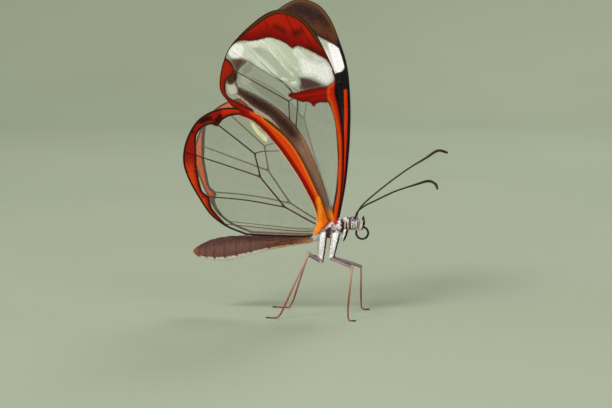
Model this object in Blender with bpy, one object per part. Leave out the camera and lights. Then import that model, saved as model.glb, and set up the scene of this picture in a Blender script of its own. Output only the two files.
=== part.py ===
"""A glasswing butterfly at rest, life size: wings closed over its back in a narrow V, feelers forward."""

import math

import bmesh
import bpy
from mathutils import Vector
from mathutils.geometry import delaunay_2d_cdt

# Lengths are in millimetres and become metres when a mesh is made.
# +X runs to the head, +Y to the butterfly's left, +Z up, and the feet stand on z = 0.
MM = 0.001
GAP = 0.3
SIDE_SIGN = {"left": 1, "right": -1}

# Wings. A wing's own places are (a, b): a forward from the hinge, b up the wing.
HINGE_X = 3.5
HINGE_Z = 12.46
WING_SPAN = 29.0
WING_TILT = {"left": math.radians(7), "right": math.radians(20)}
# The wings dish toward each other by this much half way up, so their tips flare apart.
WING_DISH = 0.85
# Thickness and the hinge's place are measured straight across the body.
WING_THICK = 0.56
FORE_OUT = 0.7
HIND_OUT = FORE_OUT + 1.1
VEIN_RISE = 0.1
VEIN_HALF_WIDTH = 0.3
EDGE_STEP = 0.95
GRID_STEP = 1.8
# Points of a wing's net closer than this are made one.
NET_MERGE = 0.25
# Net points beside a vein, and those of the grid, keep clear of the others by these shares.
VEIN_SIDE_CLEAR = 0.8
GRID_CLEAR = 0.55

# Each outline is a few open curves that meet at the wing's corners.
FORE_OUTLINE = (
    ((0.75, -0.2), (1.65, 4.8), (2.12, 10.3), (2.12, 15.5), (1.6, 20.2), (0.45, 23.7), (-1.0, 26.8),
     (-2.9, 28.7), (-5.7, 29.2), (-9.0, 27.1), (-12.2, 23.6), (-13.6, 18.9), (-12.3, 16.3)),
    ((-12.3, 16.3), (-9.2, 14.4), (-5.9, 10.2), (-2.6, 3.9), (-0.9, -0.2)),
)
HIND_OUTLINE = (
    ((-0.2, 0.2), (-1.5, 4.7), (-4.3, 11.0), (-7.8, 14.7), (-12.6, 16.1), (-17.0, 13.9),
     (-19.1, 8.3), (-16.7, 1.9), (-14.4, -0.6), (-11.3, -2.0)),
    ((-11.3, -2.0), (-6.5, -2.1), (-2.2, -1.9), (-0.2, 0.2)),
)
FORE_VEINS = (
    ((0.1, 0.6), (1.2, 6.1), (1.5, 11.2), (1.1, 18.2), (-0.1, 22.6), (-2.5, 27.0)),
    ((-0.1, 1.2), (-2.6, 6.8), (-5.0, 12.2)),
    ((-5.0, 12.2), (-8.4, 15.3), (-12.0, 17.2)),
    ((-5.0, 12.2), (-4.7, 14.1), (-4.75, 17.0)),
    ((-4.75, 17.0), (-4.2, 18.2), (1.0, 18.3)),
    ((-4.75, 17.0), (-12.4, 21.6)),
    ((-4.2, 18.2), (-10.9, 23.6)),
    ((-4.2, 18.2), (-8.5, 26.4)),
    ((-2.6, 18.2), (-3.5, 23.1), (-5.8, 28.0)),
)
HIND_VEINS = (
    ((-1.5, -0.8), (-5.9, 2.1), (-8.9, 6.3), (-9.5, 9.7), (-14.8, 14.4)),
    ((-8.9, 6.3), (-18.1, 9.6)),
    ((-5.9, 2.1), (-17.2, 3.5)),
    ((-2.0, -1.2), (-10.7, -0.8), (-14.0, -0.3)),
    ((-9.5, 9.7), (-6.2, 10.2)),
    ((-1.2, 0.6), (-2.8, 4.4), (-6.2, 10.3), (-10.8, 15.0)),
)

# Body rings: centre x and z, half height and half width.
THORAX = (
    (1.55, 10.75, 0.5, 0.5),
    (2.3, 11.25, 1.2, 1.1),
    (3.27, 11.75, 1.5, 1.45),
    (4.2, 11.65, 1.3, 1.2),
    (4.8, 11.65, 0.8, 0.95),
    (5.12, 11.65, 0.5, 0.7),
)
ABDOMEN = (
    (0.95, 10.1, 0.42, 0.45),
    (-0.9, 9.9, 0.66, 0.65),
    (-5.0, 9.4, 1.03, 1.0),
    (-9.3, 8.7, 1.58, 1.35),
    (-11.2, 8.46, 1.62, 1.35),
    (-12.9, 8.25, 1.4, 1.15),
    (-14.4, 8.08, 0.85, 0.7),
    (-15.2, 8.06, 0.3, 0.28),
)
ABDOMEN_SEGMENTS = 8
SEGMENT_GROOVE = 0.06
# A groove is this share of its segment's length to each side of the line between two segments.
GROOVE_SHARE = 0.2
# How far the rounded ends of bodies and limbs stand out, as shares of their height or radius.
BODY_END = 0.3
LIMB_END = 0.5

HEAD_CENTRE = (6.36, 0.0, 12.22)
HEAD_RADII = (0.76, 0.5, 0.95)
EYE_CENTRE = (6.47, 0.7, 12.2)
EYE_RADIUS = 0.66

# Limbs are paths of (x, distance from the middle plane, z).
ANTENNA_RADIUS = 0.25
ANTENNAE = {
    "right": ((6.6, 0.4, 12.7), (6.9, 0.8, 13.75), (7.9, 1.4, 14.65), (9.4, 2.0, 15.45),
              (12.1, 3.0, 16.8), (14.8, 4.0, 17.8), (16.7, 5.0, 18.4), (17.9, 6.0, 17.5)),
    "left": ((6.6, 0.4, 12.7), (6.9, 0.8, 13.9), (7.9, 1.5, 15.1), (10.5, 2.2, 17.3),
             (13.2, 2.9, 19.3), (15.3, 3.6, 20.6), (16.9, 4.3, 21.6), (18.1, 5.0, 21.3)),
}
PALP = ((7.2, 0.42, 11.3), (7.5, 0.45, 11.65), (7.6, 0.45, 12.3), (7.55, 0.45, 13.05))
PALP_RADIUS = 0.22
COIL_CENTRE = (7.48, 10.99)
COIL_RADIUS = 0.79
COIL_START = math.radians(68)
COIL_END = math.radians(-190)
COIL_THICK_RADIUS = 0.22

FORELEG = ((5.7, 0.45, 11.5), (5.2, 0.45, 10.6), (4.95, 0.45, 10.1))
FORELEG_RADIUS = 0.25
# A leg's hip piece tapers to the hip joint; the shares are of the whole leg's length.
HIP_RADII = (0.55, 0.36)
HIP_SHARE = 0.19
THIGH_SHARE = 0.42
FEMUR_RADIUS = 0.26
SHIN_RADIUS = 0.25
# A bend starts this far from its joint, or at this share of a shorter run.
BEND_REACH = 0.45
BEND_SHARE = 0.3
FOOT_Z = 0.17
# A leg's hip, hip joint, knee, ankle, and the two ends of its foot, which lies flat.
LEGS = {
    "mid_right": ((4.2, 0.9, 10.6), (3.65, 1.6, 7.8), (6.78, 4.3, 7.0), (6.3, 4.5, 1.9),
                  (6.35, 4.55, FOOT_Z), (7.3, 4.6, FOOT_Z)),
    "mid_left": ((3.75, 0.9, 10.7), (3.14, 1.6, 7.5), (6.73, 4.2, 5.95), (6.7, 4.5, 1.5),
                 (6.8, 4.55, FOOT_Z), (7.8, 4.6, FOOT_Z)),
    "hind_right": ((2.5, 0.9, 10.8), (2.24, 1.6, 7.4), (0.89, 3.4, 8.4), (-2.4, 4.2, 1.04),
                   (-3.0, 4.2, FOOT_Z), (-4.5, 4.2, FOOT_Z)),
    "hind_left": ((2.0, 0.9, 10.6), (1.61, 1.6, 7.3), (-0.33, 3.4, 7.45), (-2.4, 4.1, 1.3),
                  (-3.0, 4.2, FOOT_Z), (-5.3, 4.3, FOOT_Z)),
}

COLOURS = {
    "body": ((0.16, 0.10, 0.09), 0.75),
    "abdomen": ((0.13, 0.07, 0.07), 0.6),
    "eye": ((0.25, 0.2, 0.22), 0.2),
    "limb": ((0.22, 0.13, 0.11), 0.55),
    "wing": ((0.42, 0.16, 0.05), 0.4),
}


def clear_scene():
    for old in list(bpy.data.objects):
        bpy.data.objects.remove(old, do_unlink=True)


def material(name):
    colour, roughness = COLOURS[name]
    made = bpy.data.materials.get(name)
    if made is None:
        made = bpy.data.materials.new(name)
        made.use_nodes = True
        shader = made.node_tree.nodes["Principled BSDF"]
        shader.inputs["Base Color"].default_value = (*colour, 1.0)
        shader.inputs["Roughness"].default_value = roughness
    return made


def solid(name, points, faces, finish):
    """One object from points in millimetres."""
    mesh = bpy.data.meshes.new(name)
    mesh.from_pydata([Vector(p) * MM for p in points], [], faces)
    shape = bmesh.new()
    shape.from_mesh(mesh)
    bmesh.ops.recalc_face_normals(shape, faces=shape.faces)
    shape.to_mesh(mesh)
    shape.free()
    mesh.shade_smooth()
    made = bpy.data.objects.new(name, mesh)
    bpy.context.collection.objects.link(made)
    mesh.materials.append(material(finish))
    return made


def keep_largest(mesh):
    """Leave a mesh its largest closed surface alone."""
    shape = bmesh.new()
    shape.from_mesh(mesh)
    left = set(shape.verts)
    pieces = []
    while left:
        front = [left.pop()]
        piece = set(front)
        while front:
            for edge in front.pop().link_edges:
                for corner in edge.verts:
                    if corner not in piece:
                        piece.add(corner)
                        left.discard(corner)
                        front.append(corner)
        pieces.append(piece)
    pieces.sort(key=len)
    for piece in pieces[:-1]:
        bmesh.ops.delete(shape, geom=list(piece), context="VERTS")
    shape.to_mesh(mesh)
    shape.free()


def cut(target, cutters):
    """Cut each cutter out of the target and keep the largest piece."""
    for cutter in cutters:
        tool = target.modifiers.new("cut", "BOOLEAN")
        tool.operation = "DIFFERENCE"
        tool.solver = "EXACT"
        tool.object = cutter
    graph = bpy.context.evaluated_depsgraph_get()
    shaped = bpy.data.meshes.new_from_object(target.evaluated_get(graph))
    target.modifiers.clear()
    target.data = shaped
    keep_largest(shaped)


def curve_at(points, t):
    """A smooth curve through points of any size, at t from 0 to the last point's number."""
    last = len(points) - 1
    i = min(int(t), last - 1)
    u = t - i
    p1, p2 = points[i], points[i + 1]
    p0 = points[i - 1] if i > 0 else [2 * m - n for m, n in zip(p1, p2)]
    p3 = points[i + 2] if i + 2 <= last else [2 * n - m for m, n in zip(p1, p2)]
    return [
        0.5 * (2 * b + (c - a) * u + (2 * a - 5 * b + 4 * c - d) * u * u + (3 * b - a - 3 * c + d) * u ** 3)
        for a, b, c, d in zip(p0, p1, p2, p3)
    ]


def even_points(points, step):
    """Points about a step apart along the smooth curve through the given ones, both ends included."""
    fine = 24
    spans = (len(points) - 1) * fine
    dense = [curve_at(points, k / fine) for k in range(spans + 1)]
    travel = [0.0]
    for before, after in zip(dense, dense[1:]):
        travel.append(travel[-1] + math.dist(before, after))
    count = max(1, round(travel[-1] / step))
    picked = []
    k = 0
    for n in range(count + 1):
        goal = travel[-1] * n / count
        while k < spans - 1 and travel[k + 1] < goal:
            k += 1
        share = (goal - travel[k]) / (travel[k + 1] - travel[k])
        picked.append([m + (n2 - m) * share for m, n2 in zip(dense[k], dense[k + 1])])
    return picked


def ellipsoid(name, centre, radii, rings, sides, finish):
    points = [(centre[0], centre[1], centre[2] - radii[2])]
    for i in range(1, rings):
        rise = math.pi * i / rings - math.pi / 2
        for j in range(sides):
            turn = 2 * math.pi * j / sides
            points.append((
                centre[0] + radii[0] * math.cos(rise) * math.cos(turn),
                centre[1] + radii[1] * math.cos(rise) * math.sin(turn),
                centre[2] + radii[2] * math.sin(rise),
            ))
    points.append((centre[0], centre[1], centre[2] + radii[2]))
    return solid(name, points, ring_faces(rings - 1, sides), finish)


def ring_faces(rings, sides):
    """Faces of a body made of one end point, rings of points and another end point."""
    faces = [(0, 1 + j, 1 + (j + 1) % sides) for j in range(sides)]
    for i in range(rings - 1):
        low = 1 + i * sides
        for j in range(sides):
            k = (j + 1) % sides
            faces.append((low + j, low + k, low + sides + k, low + sides + j))
    low = 1 + (rings - 1) * sides
    end = low + sides
    faces += [(low + j, low + (j + 1) % sides, end) for j in range(sides)]
    return faces


def body_loft(name, stations, rings, sides, grow, finish, groove=None):
    """A body of upright oval rings along a smooth middle line in the plane y = 0."""
    last = len(stations) - 1
    ends = []
    points = []
    for i in range(rings):
        t = last * i / (rings - 1)
        x, z, half_height, half_width = curve_at(stations, t)
        if i in (0, rings - 1):
            toward_end = stations[0][0] - stations[-1][0]
            reach = math.copysign(BODY_END * half_height + grow, toward_end if i == 0 else -toward_end)
            ends.append((x + reach, 0, z))
        shrink = groove(t / last) if groove else 0.0
        for j in range(sides):
            turn = 2 * math.pi * j / sides
            points.append((
                x,
                (half_width - shrink + grow) * math.sin(turn),
                z + (half_height - shrink + grow) * math.cos(turn),
            ))
    return solid(name, [ends[0], *points, ends[1]], ring_faces(rings, sides), finish)


def tube(name, path, radius_at, sides, finish, step=0.7):
    """A round limb along a path; radius_at gives its radius at each share of the length."""
    line = [Vector(p) for p in even_points(path, step)]
    count = len(line)
    across = Vector((0, 0, 1))
    points = []
    for i, centre in enumerate(line):
        along = (line[min(i + 1, count - 1)] - line[max(i - 1, 0)]).normalized()
        across = (across - along * across.dot(along)).normalized()
        other = along.cross(across)
        radius = radius_at(i / (count - 1))
        for j in range(sides):
            turn = 2 * math.pi * (j + 0.5) / sides
            points.append(centre + (across * math.cos(turn) + other * math.sin(turn)) * radius)
    start = line[0] + (line[0] - line[1]).normalized() * radius_at(0) * LIMB_END
    end = line[-1] + (line[-1] - line[-2]).normalized() * radius_at(1) * LIMB_END
    points = [(p.x, p.y, max(p.z, 0.0)) for p in [start, *points, end]]
    return solid(name, points, ring_faces(count, sides), finish)


def wing_point(side, out, a, b, lift):
    """The place of a wing's point (a, b), lifted outward from the wing's middle surface."""
    up = max(b, 0.0)
    tilt = WING_TILT[side]
    away = out + up * math.sin(tilt) - WING_DISH * math.sin(math.pi * min(up / WING_SPAN, 1)) + lift
    return (HINGE_X + a, SIDE_SIGN[side] * away, HINGE_Z + b * math.cos(tilt))


def distance_to_lines(point, lines):
    """The distance from a point to the nearest of some lines of short straight runs."""
    nearest = math.inf
    for line in lines:
        for start, end in zip(line, line[1:]):
            run = (end[0] - start[0], end[1] - start[1])
            size = run[0] ** 2 + run[1] ** 2
            share = ((point[0] - start[0]) * run[0] + (point[1] - start[1]) * run[1]) / size
            share = min(max(share, 0), 1)
            spot = (start[0] + run[0] * share, start[1] + run[1] * share)
            nearest = min(nearest, math.dist(point, spot))
    return nearest


def inside(point, outline):
    crossed = False
    for start, end in zip(outline, outline[1:] + outline[:1]):
        if (start[1] > point[1]) != (end[1] > point[1]):
            x = start[0] + (end[0] - start[0]) * (point[1] - start[1]) / (end[1] - start[1])
            crossed ^= x > point[0]
    return crossed


def wing(name, side, out, outline_curves, vein_curves, finish):
    """A thin dished membrane with raised veins, its two faces split into triangles alike."""
    outline = []
    for curve in outline_curves:
        outline += even_points(curve, EDGE_STEP)[:-1]
    ring = outline + outline[:1]
    veins = [even_points(curve, EDGE_STEP) for curve in vein_curves]
    spots = [tuple(p) for p in outline]
    edges = []
    for vein in veins:
        numbers = []
        for p in vein:
            if not inside(p, outline) or distance_to_lines(p, [ring]) < VEIN_HALF_WIDTH:
                continue
            near = [k for k, q in enumerate(spots) if math.dist(p, q) < NET_MERGE]
            if near:
                numbers.append(near[0])
            else:
                numbers.append(len(spots))
                spots.append(tuple(p))
        edges += [pair for pair in zip(numbers, numbers[1:]) if pair[0] != pair[1]]
    for vein in veins:
        for start, end in zip(vein, vein[1:]):
            middle = ((start[0] + end[0]) / 2, (start[1] + end[1]) / 2)
            run = math.dist(start, end)
            slope = ((start[1] - end[1]) / run, (end[0] - start[0]) / run)
            for way in (-1, 1):
                p = (middle[0] + slope[0] * VEIN_HALF_WIDTH * way, middle[1] + slope[1] * VEIN_HALF_WIDTH * way)
                clear = distance_to_lines(p, veins) > VEIN_SIDE_CLEAR * VEIN_HALF_WIDTH
                clear = clear and distance_to_lines(p, [ring]) > VEIN_HALF_WIDTH
                clear = clear and min(math.dist(p, q) for q in spots) > NET_MERGE
                if clear and inside(p, outline):
                    spots.append(p)
    low = [min(p[i] for p in outline) for i in (0, 1)]
    high = [max(p[i] for p in outline) for i in (0, 1)]
    row = 0
    b = low[1]
    while b < high[1]:
        a = low[0] + (row % 2) * GRID_STEP / 2
        while a < high[0]:
            p = (a, b)
            if inside(p, outline) and min(math.dist(p, q) for q in spots) > GRID_CLEAR * GRID_STEP:
                spots.append(p)
            a += GRID_STEP
        b += GRID_STEP * math.sqrt(0.75)
        row += 1
    flat = [Vector(p) for p in spots]
    flat, _, triangles, *_ = delaunay_2d_cdt(flat, edges, [list(range(len(outline)))], 1, 1e-6)
    count = len(flat)
    outer = []
    inner = []
    for k, p in enumerate(flat):
        rise = 0.0
        if k >= len(outline):
            rise = VEIN_RISE * max(0.0, 1 - distance_to_lines(p, veins) / VEIN_HALF_WIDTH)
        outer.append(wing_point(side, out, p[0], p[1], WING_THICK / 2 + rise))
        inner.append(wing_point(side, out, p[0], p[1], -WING_THICK / 2 - rise))
    faces = [tuple(t) for t in triangles] + [tuple(k + count for k in reversed(t)) for t in triangles]
    uses = {}
    for t in triangles:
        for start, end in zip(t, (*t[1:], t[0])):
            uses.setdefault(frozenset((start, end)), []).append((start, end))
    for pairs in uses.values():
        if len(pairs) == 1:
            start, end = pairs[0]
            faces.append((end, start, start + count, end + count))
    return solid(name, outer + inner, faces, finish)


def limb_path(points, side):
    return [(x, SIDE_SIGN[side] * y, z) for x, y, z in points]


def leg_radius(share):
    """A tapered hip piece, a thinner thigh and a thin shin and foot."""
    if share < HIP_SHARE:
        return HIP_RADII[0] + (HIP_RADII[1] - HIP_RADII[0]) * share / HIP_SHARE
    if share < THIGH_SHARE:
        return FEMUR_RADIUS
    return SHIN_RADIUS


def leg_path(points, side):
    """A leg bends sharply at its joints: straight runs with a short curve at each joint."""
    path = []
    for before, joint, after in zip(points, points[1:], points[2:]):
        for end in (before, after):
            reach = min(BEND_REACH, BEND_SHARE * math.dist(joint, end))
            share = reach / math.dist(joint, end)
            path.append([j + (e - j) * share for j, e in zip(joint, end)])
    return limb_path([points[0], *path, points[-1]], side)


def coil_path():
    steps = 14
    turns = [COIL_START + (COIL_END - COIL_START) * k / steps for k in range(steps + 1)]
    return [
        (COIL_CENTRE[0] + COIL_RADIUS * math.cos(t), 0, COIL_CENTRE[1] + COIL_RADIUS * math.sin(t))
        for t in turns
    ]


def segment_groove(share):
    """How deep the abdomen's rings are drawn in at a share of its length."""
    phase = (share * ABDOMEN_SEGMENTS) % 1
    edge = min(phase, 1 - phase)
    return SEGMENT_GROOVE * max(0.0, 1 - edge / GROOVE_SHARE)


def hide_cutter(made):
    made.hide_render = True
    made.display_type = "WIRE"
    return made


def build():
    clear_scene()
    thorax = body_loft("thorax", THORAX, 14, 20, 0.0, "body")
    abdomen = body_loft("abdomen", ABDOMEN, 41, 16, 0.0, "abdomen", segment_groove)
    head = ellipsoid("head", HEAD_CENTRE, HEAD_RADII, 12, 18, "body")
    near_thorax = hide_cutter(body_loft("near_thorax", THORAX, 14, 20, GAP, "body"))
    near_abdomen = hide_cutter(body_loft("near_abdomen", ABDOMEN, 41, 16, GAP, "abdomen"))
    grown = [radius + GAP for radius in HEAD_RADII]
    near_head = hide_cutter(ellipsoid("near_head", HEAD_CENTRE, grown, 12, 18, "body"))
    coil = tube("proboscis", coil_path(), lambda t: COIL_THICK_RADIUS, 8, "limb", 0.3)
    near_coil = hide_cutter(tube("near_coil", coil_path(), lambda t: COIL_THICK_RADIUS + GAP, 8, "limb", 0.3))
    cut(abdomen, [near_thorax])
    cut(coil, [near_head])
    for side, sign in SIDE_SIGN.items():
        centre = (EYE_CENTRE[0], sign * EYE_CENTRE[1], EYE_CENTRE[2])
        eye = ellipsoid(f"eye_{side}", centre, [EYE_RADIUS] * 3, 10, 16, "eye")
        cut(eye, [near_head])
        feeler = tube(
            f"antenna_{side}", limb_path(ANTENNAE[side], side), lambda t: ANTENNA_RADIUS, 6, "limb", 0.8
        )
        cut(feeler, [near_head])
        palp = tube(f"palp_{side}", limb_path(PALP, side), lambda t: PALP_RADIUS, 8, "limb", 0.3)
        cut(palp, [near_head, near_coil])
        foreleg = tube(f"leg_fore_{side}", limb_path(FORELEG, side), lambda t: FORELEG_RADIUS, 8, "limb", 0.4)
        cut(foreleg, [near_thorax, near_head])
        for pair in ("mid", "hind"):
            place = f"{pair}_{side}"
            leg = tube(f"leg_{place}", leg_path(LEGS[place], side), leg_radius, 8, "limb")
            cut(leg, [near_thorax])
        fore = wing(f"forewing_{side}", side, FORE_OUT, FORE_OUTLINE, FORE_VEINS, "wing")
        cut(fore, [near_thorax])
        hind = wing(f"hindwing_{side}", side, HIND_OUT, HIND_OUTLINE, HIND_VEINS, "wing")
        cut(hind, [near_thorax, near_abdomen])
    for tool in (near_thorax, near_abdomen, near_head, near_coil):
        bpy.data.objects.remove(tool, do_unlink=True)
    stand_on_origin()


def stand_on_origin():
    """Carry every piece on one empty that puts the middle of the whole model's floor print at the origin."""
    pieces = [made for made in bpy.data.objects if made.type == "MESH"]
    corners = [corner.co for made in pieces for corner in made.data.vertices]
    middle = [(min(p[i] for p in corners) + max(p[i] for p in corners)) / 2 for i in (0, 1)]
    carrier = bpy.data.objects.new("butterfly", None)
    bpy.context.collection.objects.link(carrier)
    carrier.location = (-middle[0], -middle[1], 0)
    for made in pieces:
        made.parent = carrier


build()
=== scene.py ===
"""The looks of a resting glasswing butterfly: clear wings, scaled body, feelers and legs in a pale studio."""

import math

import bmesh
import bpy
import numpy as np
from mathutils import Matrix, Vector
from mathutils.geometry import delaunay_2d_cdt


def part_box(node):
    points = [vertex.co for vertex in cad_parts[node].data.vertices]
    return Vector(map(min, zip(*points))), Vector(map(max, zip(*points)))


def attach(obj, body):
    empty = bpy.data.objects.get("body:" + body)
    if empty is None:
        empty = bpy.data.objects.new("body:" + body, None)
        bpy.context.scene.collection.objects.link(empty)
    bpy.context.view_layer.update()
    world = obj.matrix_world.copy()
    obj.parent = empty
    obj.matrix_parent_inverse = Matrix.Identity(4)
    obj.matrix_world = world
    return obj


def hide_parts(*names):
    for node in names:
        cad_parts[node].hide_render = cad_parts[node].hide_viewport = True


# Lengths are in millimetres until a mesh is made. Places are (x, y, z) from the butterfly's own
# origin: x forward, y to its left, z up from the floor. The head's box ties them to the frame.
MM = 0.001
HEAD_CENTRE = (6.36, 0.0, 12.22)
SIDE_SIGN = {"left": 1, "right": -1}
# Smooth curves are first walked in this many steps from one given point to the next.
CURVE_FINENESS = 24

# Wings: (a, b) is a place on a wing, a forward from the hinge and b up the wing.
HINGE_X = 3.5
HINGE_Z = 12.46
WING_SPAN = 29.0
WING_TILT = {"left": math.radians(7), "right": math.radians(20)}
WING_DISH = 0.85
WING_RIPPLE = 0.05
FORE_OUT = 0.7
HIND_OUT_ROOT = FORE_OUT + 0.9
HIND_OUT_BLADE = FORE_OUT + 1.05
MEMBRANE = 0.07
VEIN_RISE = 0.045
WING_SHEEN = 0.12
# Dark rims of the wings, and the broader rim round the fore wing's tip.
RIM_WIDTH = 0.16
TIP_RIM_WIDTH = 0.42
# Steps along outlines and veins, through the open net, and along the edges of zones and strips.
CURVE_STEP = 0.26
NET_STEP = 0.3
ZONE_STEP = 0.3
STRIP_STEP = 0.4
# A ring of net points lies this far inside each outline.
RIM_STEP = 0.15
# A vein's net points keep this far from the outline, and join an earlier point that is nearer than this.
VEIN_TO_RIM = 0.12
VEIN_MERGE = 0.1
# Net points beside the veins keep this far from every vein, and this far from earlier points.
BESIDE_GAP = 0.04
BESIDE_MERGE = 0.045

# An outline is made of smooth curves that meet at its corners.
FORE_OUTLINE = (
    ((0.75, -0.2), (1.65, 4.8), (2.12, 10.3), (2.12, 15.5), (1.6, 20.2), (0.45, 23.7), (-1.0, 26.8),
     (-2.9, 28.7), (-5.7, 29.2), (-9.0, 27.1), (-12.2, 23.6), (-13.6, 18.9), (-12.3, 16.3)),
    ((-12.3, 16.3), (-9.2, 14.4), (-5.9, 10.2), (-2.6, 3.9), (-0.9, -0.2)),
)
HIND_OUTLINE = (
    ((-0.2, 0.2), (-1.5, 4.7), (-4.3, 11.0), (-7.8, 14.7), (-12.6, 16.1), (-17.0, 13.9), (-19.1, 8.3),
     (-16.7, 1.9), (-14.4, -0.6), (-11.3, -2.0)),
    ((-11.3, -2.0), (-6.5, -2.1), (-2.2, -1.9), (-0.2, 0.2)),
)
# Each vein is its line and its half widths at the two ends.
FORE_VEINS = (
    (((0.1, 0.6), (1.1, 6.1), (1.3, 11.2), (0.9, 18.2), (-0.2, 22.6), (-2.5, 27.0)), 0.12, 0.06),
    (((0.2, 0.4), (-2.1, 7.1), (-4.0, 13.4)), 0.11, 0.09),
    (((-4.0, 13.4), (-6.2, 15.9), (-8.8, 17.75), (-11.3, 18.85), (-12.6, 19.3)), 0.06, 0.04),
    (((-4.0, 13.4), (-4.7, 14.1), (-4.75, 17.0)), 0.07, 0.07),
    (((-4.0, 13.4), (-3.6, 17.3), (-4.2, 18.2)), 0.07, 0.07),
    (((-4.75, 17.0), (-11.7, 21.3)), 0.08, 0.06),
    (((-4.2, 18.2), (-5.0, 19.3), (-9.7, 22.5), (-11.7, 24.2)), 0.08, 0.05),
    (((-4.2, 18.2), (-5.6, 19.9), (-7.3, 21.6), (-10.3, 25.6)), 0.07, 0.04),
    (((-4.75, 17.0), (-3.9, 17.4), (-1.0, 17.9), (0.9, 18.2)), 0.06, 0.06),
    (((-3.0, 18.4), (-3.9, 21.6), (-7.0, 27.9)), 0.06, 0.04),
    (((-1.4, 18.8), (-2.4, 23.4), (-4.2, 28.6)), 0.06, 0.04),
)
# These fore wing veins show along the white band's lower edge.
LOW_VEINS = (6, 7)
HIND_VEINS = (
    (((-1.0, -0.6), (-2.4, 0.0), (-5.9, 2.1)), 0.1, 0.09),
    (((-5.9, 2.1), (-8.9, 6.3)), 0.1, 0.09),
    (((-8.9, 6.3), (-9.5, 9.7)), 0.09, 0.08),
    (((-9.5, 9.7), (-14.2, 13.8), (-15.5, 14.8)), 0.09, 0.08),
    (((-8.9, 6.3), (-9.8, 6.7), (-16.9, 9.2), (-18.6, 9.8)), 0.08, 0.07),
    (((-5.9, 2.1), (-11.0, 3.0), (-16.3, 3.4), (-17.4, 3.2)), 0.08, 0.07),
    (((-1.2, -1.1), (-4.4, -1.3), (-10.7, -0.8), (-14.4, -0.5)), 0.05, 0.04),
    (((-9.5, 9.7), (-8.4, 10.0), (-6.2, 10.1)), 0.05, 0.04),
)

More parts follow.
